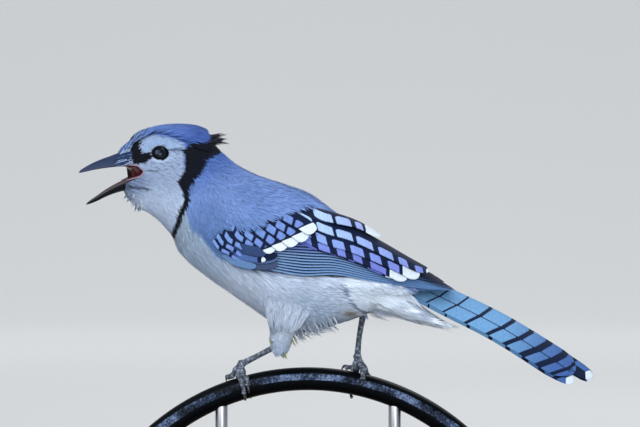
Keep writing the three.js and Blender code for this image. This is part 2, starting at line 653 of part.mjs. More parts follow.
// Thighs: feathered shanks that hang from the flanks
const THIGH = {
  left: {
    points: [vec(-12.6, -12.2, 38), vec(-17, -13, 24), vec(-19.2, -12, 13.6), vec(-19.6, -10, 7.4)],
    radii: [12.2, 9.4, 6, 3.2],
  },
  right: {
    points: [vec(-4, 12, 38), vec(6, 13, 31), vec(15, 12.4, 27.4), vec(20.6, 11, 23.4)],
    radii: [12, 10, 6.4, 3.2],
  },
};
const LOCKS = { left: 5, right: 0, width: 6.5, length: 15 };
function lock(points, radii, i, count) {
  const turn = lerp(-1.5, 2.1, share(i, count));
  const along = 0.42 + 0.1 * (i % 2);
  const curve = new THREE.CatmullRomCurve3(points);
  const outward = vec(Math.sin(turn), -Math.cos(turn), 0);
  const middle = curve.getPointAt(along);
  const root = middle.clone().addScaledVector(outward, spline(radii, along * (radii.length - 1)) - 1.2);
  const end = curve.getPointAt(1).add(vec(0.6 * i - 0.4, 0, 0.8 * (i % 3) - 1)).addScaledVector(outward, 3);
  const shaft = (t) => ({
    point: root.clone().lerp(end, t).addScaledVector(outward, 1.6 * Math.sin(Math.PI * t)),
    normal: outward,
  });
  return vane({ shaft, width: LOCKS.width, outline: POINT_TIP, thickness: 0.9 });
}
function thighSolid({ points, radii }, foot, locks) {
  const core = limb(points, (t) => spline(radii, t * (radii.length - 1)), 8, 12);
  const shank = joined([core, ...range(locks).map((i) => lock(points, radii, i, locks))]);
  const torso = bodyLength("torso", 2.1 * GAP);
  const { normal, offset } = beyondRump(-GAP);
  const behind = normal.map((n) => -n);
  return largest(shank.subtract(torso).subtract(shankSolid(foot, 1.8 * GAP)).trimByPlane(behind, -offset));
}

// The belly's loose locks, which hang between the thighs and the vent
const BELLY_LOCKS = [
  { way: 14.3, turn: 3.25, tip: vec(-8.4, 2, 12.4) },
  { way: 14.6, turn: 3.0, tip: vec(-3.4, -3, 14) },
  { way: 15, turn: 2.9, tip: vec(1.6, -5, 15.8) },
  { way: 15.3, turn: 3.2, tip: vec(6.4, 1, 18.4) },
];
function torsoSolid() {
  const locks = BELLY_LOCKS.map(({ way, turn, tip }) => {
    const root = BODY.point(way, turn, -1.5);
    const normal = BODY.normal(way, turn);
    const shaft = (t) => ({ point: root.clone().lerp(tip, t).addScaledVector(normal, 2 * Math.sin(Math.PI * t)), normal });
    return vane({ shaft, width: 8, outline: POINT_TIP, thickness: 1.1 });
  });
  return joined([bodyLength("torso"), ...locks]);
}

// The perch's line and the feet that close round it
const perchCentre = vec(-BIRD_SHIFT, 0, -PERCH.wire - PERCH.radius);
function perchPoint(x, round, away) {
  const angle = Math.asin((x - perchCentre.x) / PERCH.radius);
  const outward = vec(Math.sin(angle), 0, Math.cos(angle));
  const radial = outward.clone().multiplyScalar(Math.cos(round)).add(vec(0, -Math.sin(round), 0));
  return perchCentre
    .clone()
    .addScaledVector(outward, PERCH.radius)
    .addScaledVector(radial, PERCH.wire + away);
}
const TOE = { radius: 1.1, knuckle: 0.2, claw: 0.85, lift: 0.5 };
// Each toe leaves the ankle and lies on the perch through places (x, turn round the wire in degrees).
const FEET = {
  left: {
    heel: vec(-19, -9.6, 10.6), ankle: vec(-38.4, -3, 1.4),
    toes: [
      [[-40.6, 6], [-41.6, -4], [-42.2, -16]],
      [[-37, 30], [-36, 72], [-36, 116]],
      [[-35.6, 34], [-34, 62], [-33.4, 88]],
      [[-36.4, -25], [-34.6, -70], [-35, -112]],
    ],
    clawTo: [[-44, -36], [-36.4, 156], [-33.6, 128], [-35.4, -150]],
  },
  right: {
    heel: vec(21, 10.8, 24), ankle: vec(18.2, 3, 4.6),
    toes: [
      [[15.4, -6], [13.4, -10], [11.8, -20]],
      [[19.2, 22], [19.6, 46], [20, 68]],
      [[16.4, -32], [15.6, -80], [15.8, -124]],
      [[20.6, -20], [22.6, -60], [23, -100]],
    ],
    clawTo: [[9.4, -42], [20.4, 104], [17.4, -172], [23.4, -138]],
  },
};
const radians = THREE.MathUtils.degToRad;
function toePath(ankle, places) {
  const onPerch = places.map(([x, round]) => perchPoint(x, radians(round), TOE.lift + TOE.radius + TOE.knuckle));
  return [ankle.clone().lerp(onPerch[0], 0.08), ankle.clone().lerp(onPerch[0], 0.6), ...onPerch];
}
const toeRadius = (t) => TOE.radius * lerp(1.15, 0.82, t) + TOE.knuckle * Math.cos(6 * Math.PI * t);
function footSolid({ heel, ankle, toes }) {
  const knob = new THREE.SphereGeometry(2.1, 8, 6);
  knob.translate(ankle.x, ankle.y, ankle.z);
  const digits = toes.map((places) => limb(toePath(ankle, places), toeRadius, 8, 6));
  const digitsAndKnob = joined([solidOf(knob), ...digits]);
  return largest(digitsAndKnob.subtract(shankSolid({ heel, ankle }, GAP)));
}
function clawSolid(foot, i) {
  const path = new THREE.CatmullRomCurve3(toePath(foot.ankle, foot.toes[i]));
  const end = path.getPoint(1);
  const ahead = path.getTangent(1);
  const [x, round] = foot.clawTo[i];
  const tip = perchPoint(x, radians(round), GAP + 0.35);
  const start = end.clone().addScaledVector(ahead, 3 * GAP);
  const bulge = perchPoint((x + foot.toes[i][2][0]) / 2, radians((round + foot.toes[i][2][1]) / 2), GAP + 2.2);
  return limb([start, bulge, tip], (t) => lerp(TOE.claw, 0.16, t ** 0.8), 5, 6);
}
// The tarsus: a slim shank, with scutes down its front, from the thigh to the toes' root
function shankSolid({ heel, ankle }, grow = 0) {
  const length = heel.distanceTo(ankle);
  const top = heel.clone().lerp(ankle, -grow / length);
  const low = ankle.clone().lerp(heel, 0.12 - grow / length);
  const bow = top.clone().lerp(low, 0.5).add(vec(-0.5, 0, 0.4));
  const scute = (t) => 0.1 * Math.cos(16 * Math.PI * t);
  return limb([top, bow, low], (t) => lerp(1.45, 1.3, t) + 0.35 * (2 * t - 1) ** 6 + scute(t) + grow, 16, 7, 1.15);
}

// Stand and perch
class PerchArc extends THREE.Curve {
  getPoint(t) {
    const angle = lerp(-PERCH.halfAngle, PERCH.halfAngle, t);
    return vec(PERCH.radius * Math.sin(angle), 0, perchCentre.z + PERCH.radius * Math.cos(angle));
  }
}
function perchRod(radius) {
  const round = new THREE.Shape(
    range(PERCH.sides).map((j) => {
      const turn = (2 * Math.PI * j) / PERCH.sides;
      return new THREE.Vector2(radius * Math.cos(turn), radius * Math.sin(turn));
    }),
  );
  return new THREE.ExtrudeGeometry(round, { steps: PERCH.steps, extrudePath: new PerchArc() });
}
function standRod() {
  const rod = new THREE.CylinderGeometry(STAND_ROD.radius, STAND_ROD.radius, PERCH_TOP, 20);
  rod.rotateX(Math.PI / 2);
  rod.translate(0, 0, PERCH_TOP / 2 + BASE.height + GAP);
  return solidOf(rod);
}
function standBase() {
  const [halfLength, halfWidth, corner] = [BASE.length / 2 - BASE.bevel, BASE.width / 2 - BASE.bevel, BASE.corner];
  const outline = new THREE.Shape();
  const corners = [[1, 1, 0], [-1, 1, 90], [-1, -1, 180], [1, -1, 270]];
  for (const [sx, sy, start] of corners) {
    outline.absarc(
      sx * (halfLength - corner), sy * (halfWidth - corner), corner, radians(start), radians(start + 90), false,
    );
  }
  const slab = new THREE.ExtrudeGeometry(outline, {
    depth: BASE.height - 2 * BASE.bevel, bevelThickness: BASE.bevel, bevelSize: BASE.bevel,
    bevelSegments: 1, curveSegments: 4,
  });
  slab.translate(0, 0, BASE.bevel);
  return slab;
}

// Finishes
const finish = (color, roughness, metalness = 0) => new THREE.MeshStandardMaterial({ color, roughness, metalness });
const FINISH = {
  pale: finish(0xc3cad6, 0.85),
  blue: finish(0x6c80b8, 0.75),
  barred: finish(0x7ba0cc, 0.65),
  white: finish(0xd9dde6, 0.85),
  horn: finish(0x23262e, 0.35),
  scale: finish(0x555a66, 0.6),
  eye: finish(0x120e0c, 0.05),
  iron: finish(0x0c0d12, 0.25, 0.6),
  steel: finish(0xb4b4b2, 0.35, 1),
  wood: finish(0x8a6544, 0.5),
};

const jay = new THREE.Group();
jay.name = "jay";
jay.position.set(BIRD_SHIFT, 0, PERCH_TOP);
const stand = new THREE.Group();
stand.name = "stand";
const model = new THREE.Group();
model.add(jay, stand);

function place(group, name, material, geometry) {
  const mesh = new THREE.Mesh(geometry, material);
  mesh.name = name;
  group.add(mesh);
}
const withHead = (solid) => moved(solid, turnHead);

place(jay, "head", FINISH.pale, withHead(headSolid()));
place(jay, "neck", FINISH.pale, withHead(bodyLength("neck")));
place(jay, "torso", FINISH.pale, withHead(torsoSolid()));
place(jay, "crest", FINISH.blue, withHead(crestSolid()));
place(jay, "bill_upper", FINISH.horn, withHead(upperBill()));
place(jay, "bill_lower", FINISH.horn, withHead(lowerBill()));
const leftEye = eyeBall(EYE.radius);
place(jay, "eye_left", FINISH.eye, withHead(leftEye));
place(jay, "eye_right", FINISH.eye, withHead(otherSide(leftEye)));
place(jay, "wing_left", FINISH.blue, geometryOf(wingSolid(0)));
place(jay, "wing_right", FINISH.blue, geometryOf(otherSide(wingSolid(1.5))));
place(jay, "tail", FINISH.barred, geometryOf(tailSolid()));
place(jay, "undertail_coverts", FINISH.white, geometryOf(ventSolid()));
for (const side of ["left", "right"]) {
  const foot = FEET[side];
  place(jay, `thigh_${side}`, FINISH.white, geometryOf(thighSolid(THIGH[side], foot, LOCKS[side])));
  place(jay, `leg_${side}`, FINISH.scale, geometryOf(shankSolid(foot)));
  place(jay, `foot_${side}`, FINISH.scale, geometryOf(footSolid(foot)));
  for (const i of range(foot.toes.length)) {
    place(jay, `claw_${side}_${i + 1}`, FINISH.horn, geometryOf(clawSolid(foot, i)));
  }
}

const perch = perchRod(PERCH.wire);
perch.translate(0, 0, PERCH_TOP);
place(stand, "perch_rod", FINISH.iron, perch);
const aroundPerch = perchRod(PERCH.wire + GAP);
aroundPerch.translate(0, 0, PERCH_TOP);
for (const [name, x] of [["stand_rod_front", -STAND_ROD.reach], ["stand_rod_back", STAND_ROD.reach]]) {
  const rod = standRod().translate([x, 0, 0]).subtract(solidOf(aroundPerch));
  const below = rod.decompose().sort((a, b) => a.boundingBox().min[2] - b.boundingBox().min[2])[0];
  place(stand, name, FINISH.steel, geometryOf(below));
}
place(stand, "stand_base", FINISH.wood, standBase());

export default model;
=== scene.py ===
import math

import bmesh
import bpy
import numpy as np
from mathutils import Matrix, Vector
from mathutils.kdtree import KDTree


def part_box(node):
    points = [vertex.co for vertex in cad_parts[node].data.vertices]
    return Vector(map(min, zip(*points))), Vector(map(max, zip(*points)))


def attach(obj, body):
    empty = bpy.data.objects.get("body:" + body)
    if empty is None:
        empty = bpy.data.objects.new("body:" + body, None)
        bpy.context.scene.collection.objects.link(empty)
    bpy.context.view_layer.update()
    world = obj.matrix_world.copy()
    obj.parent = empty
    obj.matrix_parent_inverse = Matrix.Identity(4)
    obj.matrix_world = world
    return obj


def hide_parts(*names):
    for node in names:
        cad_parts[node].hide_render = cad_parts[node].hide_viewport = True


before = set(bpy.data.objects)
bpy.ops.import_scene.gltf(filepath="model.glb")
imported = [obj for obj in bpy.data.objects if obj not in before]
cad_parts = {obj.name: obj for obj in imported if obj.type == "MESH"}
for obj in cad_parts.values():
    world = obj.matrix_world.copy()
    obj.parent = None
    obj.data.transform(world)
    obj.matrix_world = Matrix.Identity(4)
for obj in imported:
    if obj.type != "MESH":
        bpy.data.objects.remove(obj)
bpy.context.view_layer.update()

# The base: one hardwood board with rounded corners, a stepped and eased upper edge,
# sanded and finished with oil.
MM = 0.001
base_low, base_high = (np.array(corner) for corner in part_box("stand_base"))
BASE_CORNER = 14 * MM
BASE_STEP = 4 * MM
BASE_EASE = 1.4 * MM


def new_material(name, roughness, metallic=0.0, coat=0.0, **inputs):
    """A material and its Principled shader, with what is the same all over set on the sockets."""
    material = bpy.data.materials.new(name)
    material.use_nodes = True
    shader = material.node_tree.nodes["Principled BSDF"]
    inputs = {"Roughness": roughness, "Metallic": metallic, "Coat_Weight": coat, **inputs}
    for label, value in inputs.items():
        shader.inputs[label.replace("_", " ")].default_value = value
    return material, shader


def node(owner, kind, **inputs):
    """A node in a material or in a group; an input is a value or another node's output."""
    tree = getattr(owner, "node_tree", owner)
    made = tree.nodes.new(kind)
    for name, value in inputs.items():
        socket = made.inputs[int(name[1:])] if name[1:].isdigit() else made.inputs[name.replace("_", " ")]
        if isinstance(value, bpy.types.NodeSocket):
            tree.links.new(value, socket)
        else:
            socket.default_value = value
    return made


def wire(material, output, socket):
    """Joins a node's output to a socket."""
    material.node_tree.links.new(output, socket)


def reckon(material, operation, *values):
    """What a Math node makes of values or outputs."""
    made = node(material, "ShaderNodeMath", **{f"_{i}": value for i, value in enumerate(values)})
    made.operation = operation
    return made.outputs[0]


def relief(material, shader, height, strength, depth):
    """A fine relief of the surface, its depth in metres."""
    made = node(material, "ShaderNodeBump", Height=height, Strength=strength, Distance=depth)
    wire(material, made.outputs[0], shader.inputs["Normal"])


def mixed(material, share, below, over, blend_type="MIX"):
    """Two colours laid over each other by a share."""
    made = node(material, "ShaderNodeMix")
    made.data_type = "RGBA"
    made.blend_type = blend_type
    for place, value in ((0, share), (6, below), (7, over)):
        if isinstance(value, bpy.types.NodeSocket):
            wire(material, value, made.inputs[place])
        else:
            made.inputs[place].default_value = value
    return made.outputs[2]


def ramp(material, factor, *stops):
    """A colour ramp over factor, its stops given as (place, colour)."""
    made = node(material, "ShaderNodeValToRGB", Fac=factor)
    elements = made.color_ramp.elements
    while len(elements) < len(stops):
        elements.new(0.5)
    for element, (place, colour) in zip(elements, stops):
        element.position = place
        element.color = linear(colour)
    return made.outputs["Color"]


def linear(colour):
    """A colour of 0 to 255 a channel, as on a screen, in the renderer's own scale."""
    value = np.asarray(colour, float) / 255
    scaled = np.where(value <= 0.04045, value / 12.92, ((value + 0.055) / 1.055) ** 2.4)
    return (*scaled, 1.0)


def pick_only(piece):
    """Makes a piece the one that is selected and active."""
    bpy.ops.object.select_all(action="DESELECT")
    piece.select_set(True)
    bpy.context.view_layer.objects.active = piece


def finish_piece(piece, material, replaces=(), smooth=True):
    """Gives a piece its material and its place among the frame's bodies and nodes."""
    piece.data.materials.clear()
    piece.data.materials.append(material)
    piece.data.polygons.foreach_set("use_smooth", [smooth] * len(piece.data.polygons))
    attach(piece, "root")
    if replaces:
        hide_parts(*replaces)
    return piece


# The grain of wood, brushed steel and horn: a noise in the piece's own frame, stretched along it.
grain_group = bpy.data.node_groups.new("grain", "ShaderNodeTree")
grain_group.interface.new_socket("Scale", in_out="INPUT", socket_type="NodeSocketVector")
grain_group.interface.new_socket("Detail", in_out="INPUT", socket_type="NodeSocketFloat")
grain_group.interface.new_socket("Grain", in_out="OUTPUT", socket_type="NodeSocketFloat")
grain_given = node(grain_group, "NodeGroupInput").outputs
grain_place = node(grain_group, "ShaderNodeTexCoord").outputs["Object"]
grain_along = node(grain_group, "ShaderNodeMapping", Vector=grain_place, Scale=grain_given["Scale"])
grain_noise = node(
    grain_group, "ShaderNodeTexNoise", Vector=grain_along.outputs[0], Scale=1.0,
    Detail=grain_given["Detail"],
)
node(grain_group, "NodeGroupOutput", Grain=grain_noise.outputs["Fac"])


def grain(material, scale, detail):
    """The grain placed in a material, given its scale along each axis."""
    made = node(material, "ShaderNodeGroup")
    made.node_tree = grain_group
    made.inputs["Scale"].default_value = scale
    made.inputs["Detail"].default_value = detail
    return made.outputs["Grain"]


oiled_wood, wood_shader = new_material("oiled_walnut", 0.42, coat=0.15)
wood_flow = grain(oiled_wood, (6, 70, 60), 5.0)
wood_pores = grain(oiled_wood, (40, 1500, 1200), 3.0)
wood_rings = reckon(oiled_wood, "MULTIPLY", wood_flow, 9.0)
wood_wave = reckon(oiled_wood, "PINGPONG", wood_rings, 1.0)
wood_tone = ramp(oiled_wood, wood_wave, (0.0, (96, 62, 40)), (0.55, (122, 82, 54)), (1.0, (142, 98, 66)))
wood_dark = ramp(oiled_wood, wood_pores, (0.36, (150, 140, 130)), (0.52, (255, 255, 255)))
wood_colour = mixed(oiled_wood, 0.75, wood_tone, wood_dark, "MULTIPLY")
wire(oiled_wood, wood_colour, wood_shader.inputs["Base Color"])
relief(oiled_wood, wood_shader, wood_pores, 0.12, 0.2 * MM)

bpy.ops.object.select_all(action="DESELECT")
bpy.ops.mesh.primitive_cube_add(size=1, location=(base_low + base_high) / 2)
base = bpy.context.object
base.name = "base_board"
base.dimensions = base_high - base_low
bpy.ops.object.transform_apply(location=True, rotation=True, scale=True)
board = bmesh.new()
board.from_mesh(base.data)
upright = [e for e in board.edges if abs(e.verts[0].co.z - e.verts[1].co.z) > BASE_STEP]
bmesh.ops.bevel(board, geom=upright, offset=BASE_CORNER, segments=10, affect="EDGES", profile=0.5)
top = [f for f in board.faces if f.normal.z > 0.9]
bmesh.ops.inset_region(board, faces=top, thickness=BASE_STEP, depth=0)
rim = {v for f in board.faces if f.normal.z > 0.9 for v in f.verts} - {v for f in top for v in f.verts}
for v in rim:
    v.co.z -= BASE_STEP * 0.5
eased = [e for e in board.edges if len(e.link_faces) == 2 and e.calc_face_angle() > 0.3]
level = [e for e in eased if abs(e.verts[0].co.z - e.verts[1].co.z) < 1e-6]
level = [e for e in level if e.verts[0].co.z > base_low[2] + 1e-5]
bmesh.ops.bevel(board, geom=level, offset=BASE_EASE, segments=4, affect="EDGES", profile=0.5)
board.to_mesh(base.data)
board.free()
finish_piece(base, oiled_wood, ["stand_base"], smooth=False)
pick_only(base)
bpy.ops.object.shade_smooth_by_angle(angle=math.radians(28))

# The rods: two brushed steel pins, let into the board through turned collars and brazed
# to the underside of the perch.
ROD_COLLAR = 3.4 * MM
ROD_COLLAR_HEIGHT = 2.6 * MM
ROD_EASE = 0.5 * MM
ROD_SIDES = 48

steel_grey = linear((176, 178, 182))
brushed_steel, steel_shader = new_material("brushed_steel", 0.32, metallic=1.0, Base_Color=steel_grey)
steel_lines = grain(brushed_steel, (300, 300, 9000), 2.0)
relief(brushed_steel, steel_shader, steel_lines, 0.1, 0.1 * MM)

for place in ("front", "back"):
    rod_low, rod_high = (np.array(corner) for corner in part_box(f"stand_rod_{place}"))
    rod_radius = (rod_high[0] - rod_low[0]) / 2
    middle = (rod_low + rod_high) / 2
    bpy.ops.object.select_all(action="DESELECT")
    bpy.ops.mesh.primitive_cylinder_add(
        vertices=ROD_SIDES, radius=rod_radius, depth=rod_high[2] - rod_low[2], location=middle
    )
    rod = bpy.context.object
    rod.name = f"rod_{place}"
    collar_middle = (middle[0], middle[1], base_high[2] + ROD_COLLAR_HEIGHT / 2)
    bpy.ops.mesh.primitive_cylinder_add(
        vertices=ROD_SIDES, radius=rod_radius + ROD_COLLAR, depth=ROD_COLLAR_HEIGHT, location=collar_middle
    )
    collar = bpy.context.object
    for piece in (collar, rod):
        piece.select_set(True)
    bpy.context.view_layer.objects.active = rod
    bpy.ops.object.join()
    bpy.ops.object.transform_apply(location=True, rotation=True, scale=True)
    turned_rod = bmesh.new()
    turned_rod.from_mesh(rod.data)
    rims = [e for e in turned_rod.edges if e.calc_face_angle(0) > 1]
    bmesh.ops.bevel(turned_rod, geom=rims, offset=ROD_EASE, segments=3, affect="EDGES", profile=0.5)
    turned_rod.to_mesh(rod.data)
    turned_rod.free()
    finish_piece(rod, brushed_steel, [f"stand_rod_{place}"])
    bpy.ops.object.shade_smooth_by_angle(angle=math.radians(35))

# The perch: a short cut length of a bent steel rod in black enamel, with a painted reflection
# in a band along each flank, broken into specks and patches, and its two sawn ends eased.
perch_low, perch_high = (np.array(corner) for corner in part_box("perch_rod"))
PERCH_WIRE = (perch_high[1] - perch_low[1]) / 2
PERCH_HALF = math.radians(45)
PERCH_RADIUS = perch_high[0] / math.sin(PERCH_HALF) - PERCH_WIRE
PERCH_TOP = perch_high[2]
PERCH_STEPS = 72
PERCH_SIDES = 32
PERCH_EASE = 0.9 * MM

black_enamel, enamel_shader = new_material("black_enamel_painted_reflection", 0.3, Specular_IOR_Level=0.05)
enamel_place = node(black_enamel, "ShaderNodeTexCoord").outputs["Object"]
enamel_specks = node(
    black_enamel, "ShaderNodeTexNoise", Vector=enamel_place, Scale=900.0, Detail=4.0, Roughness=0.7
)
enamel_patches = node(black_enamel, "ShaderNodeTexNoise", Vector=enamel_place, Scale=110.0, Detail=3.0)
enamel_up = node(black_enamel, "ShaderNodeNewGeometry").outputs["Normal"]
enamel_facing = node(black_enamel, "ShaderNodeSeparateXYZ", Vector=enamel_up).outputs["Z"]
enamel_level = node(black_enamel, "ShaderNodeMapRange", Value=enamel_facing, From_Min=-1.0)
# Painted reflection: a pale band where the surface faces sideways and a little up.
enamel_reflection_band = ramp(
    black_enamel, enamel_level.outputs[0], (0.40, (0, 0, 0)), (0.48, (255, 255, 255)),
    (0.72, (255, 255, 255)), (0.8, (60, 60, 60)), (0.95, (30, 30, 30)),
)
enamel_reflection_reach = reckon(black_enamel, "MULTIPLY", enamel_patches.outputs["Fac"], enamel_reflection_band)
enamel_sum = reckon(black_enamel, "ADD", enamel_reflection_reach, enamel_specks.outputs["Fac"])
# The painted reflection, broken into specks and patches, sets the enamel's colour and its roughness.
enamel_reflection_range = node(black_enamel, "ShaderNodeMapRange", Value=enamel_sum, From_Min=0.84, From_Max=1.24)
enamel_painted_reflection = enamel_reflection_range.outputs[0]
enamel_colour = ramp(
    black_enamel, enamel_painted_reflection, (0.0, (5, 8, 11)), (0.5, (44, 57, 80)), (1.0, (112, 130, 164))
)
wire(black_enamel, enamel_colour, enamel_shader.inputs["Base Color"])
enamel_rough = node(black_enamel, "ShaderNodeMapRange", Value=enamel_painted_reflection, To_Min=0.3, To_Max=0.7)
wire(black_enamel, enamel_rough.outputs[0], enamel_shader.inputs["Roughness"])
relief(black_enamel, enamel_shader, enamel_sum, 0.25, 0.2 * MM)


def grid_faces(rows, columns, round_column=False):
    """Quads over a grid of points laid out row by row, facing the way that its columns turn."""
    across = columns if round_column else columns - 1
    row, column = np.meshgrid(np.arange(rows - 1), np.arange(across), indexing="ij")
    beyond = (column + 1) % columns
    corners = ((row, column), (row, beyond), (row + 1, beyond), (row + 1, column))
    return np.stack([(at_row * columns + at_column).ravel() for at_row, at_column in corners], -1)


def mesh_piece(name, points, faces):
    """An object with that mesh, its points in metres in the row frame."""
    mesh = bpy.data.meshes.new(name)
    points = np.asarray(points, float).reshape(-1, 3)
    mesh.vertices.add(len(points))
    mesh.vertices.foreach_set("co", points.ravel())
    counts = np.concatenate([np.full(len(f), f.shape[1]) for f in faces])
    corners = np.concatenate([f.ravel() for f in faces])
    mesh.loops.add(len(corners))
    mesh.loops.foreach_set("vertex_index", corners.astype(np.int32))
    mesh.polygons.add(len(counts))
    mesh.polygons.foreach_set("loop_start", np.concatenate([[0], np.cumsum(counts)[:-1]]).astype(np.int32))
    mesh.update(calc_edges=True)
    piece = bpy.data.objects.new(name, mesh)
    bpy.context.scene.collection.objects.link(piece)
    return piece


def face_outwards(piece, merge=False):
    """Turns a closed piece's faces outwards, and first merges its doubled points if asked to."""
    solid = bmesh.new()
    solid.from_mesh(piece.data)
    if merge:
        bmesh.ops.remove_doubles(solid, verts=solid.verts, dist=1e-7)
    bmesh.ops.recalc_face_normals(solid, faces=solid.faces)
    solid.to_mesh(piece.data)
    solid.free()


perch_centre = PERCH_TOP - PERCH_WIRE - PERCH_RADIUS
arc = np.linspace(-PERCH_HALF, PERCH_HALF, PERCH_STEPS)
round_wire = np.linspace(0, 2 * math.pi, PERCH_SIDES, endpoint=False)
narrow, shorter = 0.3 * PERCH_EASE, 0.3 * PERCH_EASE / PERCH_RADIUS
rings = [(arc[0], 0.0), (arc[0], PERCH_WIRE - PERCH_EASE), (arc[0] + shorter, PERCH_WIRE - narrow)]
rings += [(angle, PERCH_WIRE) for angle in arc[1:-1]]
rings += [(arc[-1] - shorter, PERCH_WIRE - narrow), (arc[-1], PERCH_WIRE - PERCH_EASE), (arc[-1], 0.0)]
perch_points = []
for angle, wire_here in rings:
    outward = PERCH_RADIUS + wire_here * np.cos(round_wire)
    along, up = outward * math.sin(angle), perch_centre + outward * math.cos(angle)
    perch_points.append(np.stack([along, wire_here * np.sin(round_wire), up], -1))
perch = mesh_piece("perch", np.concatenate(perch_points), [grid_faces(len(rings), PERCH_SIDES, True)])
face_outwards(perch, merge=True)
finish_piece(perch, black_enamel, ["perch_rod"])
pick_only(perch)
bpy.ops.object.shade_smooth_by_angle(angle=math.radians(40))


def add_map(piece, label, places, faces):
    """Gives a piece a UV map, from a place for each of its points."""
    chart = piece.data.uv_layers.new(name=label)
    corners = np.concatenate([f.ravel() for f in faces])
    chart.data.foreach_set("uv", places[corners].astype(np.float32).ravel())


# The skin: one unbroken surface under the whole coat, from the bill's root to the tail's,
# with both thighs. It is shaped as the body is, and lies inside it by the coat's depth.
AHEAD = 5.8  # the bird's own frame, in millimetres, stands this far from the middle of the perch
# A row of a form holds: its top and its underside in the side view, its half width, the share of
# its depth at which it is widest, and how far it stands to the bird's right.
BODY = (
    (-97.6, 104.6, -94.6, 85.2, 5.4, 0.5),
    (-94.4, 107.8, -92.0, 80.8, 8.8, 0.5),
    (-89.8, 111.4, -87.8, 77.0, 11.8, 0.48),
    (-83.6, 113.8, -82.4, 74.4, 14.2, 0.47),
    (-76.3, 115.3, -77.6, 70.6, 15.8, 0.46),
    (-68.8, 115.6, -74.0, 66.6, 16.6, 0.46),
    (-60.8, 113.6, -71.6, 63.4, 17.0, 0.46),
    (-52.9, 108.6, -70.4, 60.6, 17.4, 0.47),
    (-46.2, 103.4, -69.8, 58.4, 18.4, 0.48),
    (-40.3, 98.8, -68.4, 55.4, 20.0, 0.49),
    (-33.2, 95.0, -65.8, 52.2, 23.0, 0.5),
    (-25.2, 91.8, -60.2, 47.4, 25.6, 0.5),
    (-16.8, 89.2, -49.8, 39.8, 26.6, 0.5),
    (-4.6, 84.6, -37.0, 30.8, 26.4, 0.5),
    (6.0, 77.0, -22.0, 21.0, 26.2, 0.5),
    (17.8, 67.5, -7.0, 16.4, 24.8, 0.5),
    (30.0, 58.2, 7.8, 20.4, 21.4, 0.5),
    (41.0, 50.0, 19.4, 24.2, 16.6, 0.5),
    (47.4, 45.8, 27.4, 28.0, 13.4, 0.5),
)
VENT = (
    (28.9, 47.0, 19.1, 25.0, 13.0, 0.5),
    (37.6, 41.6, 30.2, 25.8, 12.2, 0.5),
    (45.8, 32.6, 41.1, 23.4, 9.4, 0.5),
    (54.2, 26.0, 52.2, 20.8, 5.8, 0.5),
    (60.2, 22.0, 59.4, 20.0, 2.4, 0.5),
)
THIGH_LEFT = (
    (-25.5, 40.0, -4.0, 34.5, 7.0, 0.5, -4.6),
    (-26.6, 26.6, -9.0, 21.8, 7.0, 0.5, -8.2),
    (-25.2, 14.6, -13.2, 12.8, 5.8, 0.5, -11.0),
    (-24.2, 8.6, -14.8, 8.0, 4.4, 0.5, -10.0),
    (-22.8, 6.4, -16.2, 6.0, 2.8, 0.5, -9.8),
)
THIGH_RIGHT = (
    (2.8, 47.8, -10.8, 28.2, 9.0, 0.5, 9.0),
    (10.7, 39.8, 1.3, 22.2, 8.4, 0.5, 11.6),
    (18.1, 33.0, 11.9, 21.8, 6.2, 0.5, 12.0),
    (22.7, 27.4, 16.9, 23.9, 3.4, 0.5, 11.3),
    (23.3, 25.2, 19.4, 23.3, 2.2, 0.5, 11.0),
)
HEAD_TURN = math.radians(16)
HEAD_PIVOT = -45.0
NECK_LINE = (0.86, -0.51)
NECK_TURNED = -104.0
NECK_STILL = -72.0
SKIN_STEP = 1.0 * MM
SKIN_SIDES = 64
MOUTH_HALF = 16.0
COAT_ON_FACE, COAT_ON_BODY = 0.9, 2.6
OPEN_MOUTH = ((-88.0, 94.8), (-90.8, 97.6), (-104.0, 98.6), (-104.0, 85.4), (-89.4, 92.1))


def smooth_step(value, start, end):
    """0 before the start and 1 beyond the end, with an easy rise between them."""
    t = np.clip((value - start) / (end - start), 0, 1)
    return t * t * (3 - 2 * t)


def curve(table, place):
    """Values between a table's rows, on a smooth curve through them; past its ends it runs straight."""
    before = np.clip(np.floor(place).astype(int), 0, len(table) - 2)
    t = np.clip(place - before, 0, 1)[..., None]
    beyond = (place - before)[..., None] - t
    a, b, c, d = (table[np.clip(before + k, 0, len(table) - 1)] for k in (-1, 0, 1, 2))
    bent = 2 * a - 5 * b + 4 * c - d + t * (3 * (b - c) + d - a)
    return b + beyond * (c - b) + 0.5 * t * (c - a + t * bent)


def through(rows, way):
    """The curve through a form's rows; the first row is way 0."""
    return curve(np.array([(*row, 0.0)[:7] for row in rows]), way)


def unit(vectors):
    """The same directions at length 1."""
    return vectors / np.linalg.norm(vectors, axis=-1, keepdims=True)


def form(rows, way, turn, lift=0.0):
    """Points of a rounded form and its outward directions; turn is 0 at the back, more to the left."""
    way, turn = np.broadcast_arrays(np.asarray(way, float), np.asarray(turn, float))
    top_x, top_z, low_x, low_z, half, widest, aside = np.moveaxis(through(rows, way), -1, 0)
    depth = np.hypot(top_x - low_x, top_z - low_z)
    up = np.stack([(top_x - low_x) / depth, np.zeros_like(depth), (top_z - low_z) / depth], -1)
    middle = np.stack([top_x + (low_x - top_x) * widest, aside, top_z + (low_z - top_z) * widest], -1)
    height = np.where(np.cos(turn) > 0, depth * widest, depth * (1 - widest))
    outward = up * (np.cos(turn) / height)[..., None]
    outward[..., 1] -= np.sin(turn) / half
    outward = unit(outward)
    point = middle + up * (height * np.cos(turn))[..., None] + outward * np.asarray(lift)[..., None]
    point[..., 1] -= half * np.sin(turn)
    return point, outward


def head_angle(points):
    """How far the head's turn moves each point; it fades out down the neck."""
    along = NECK_LINE[0] * points[..., 0] + NECK_LINE[1] * points[..., 2]
    return HEAD_TURN * (1 - smooth_step(along, NECK_TURNED, NECK_STILL))


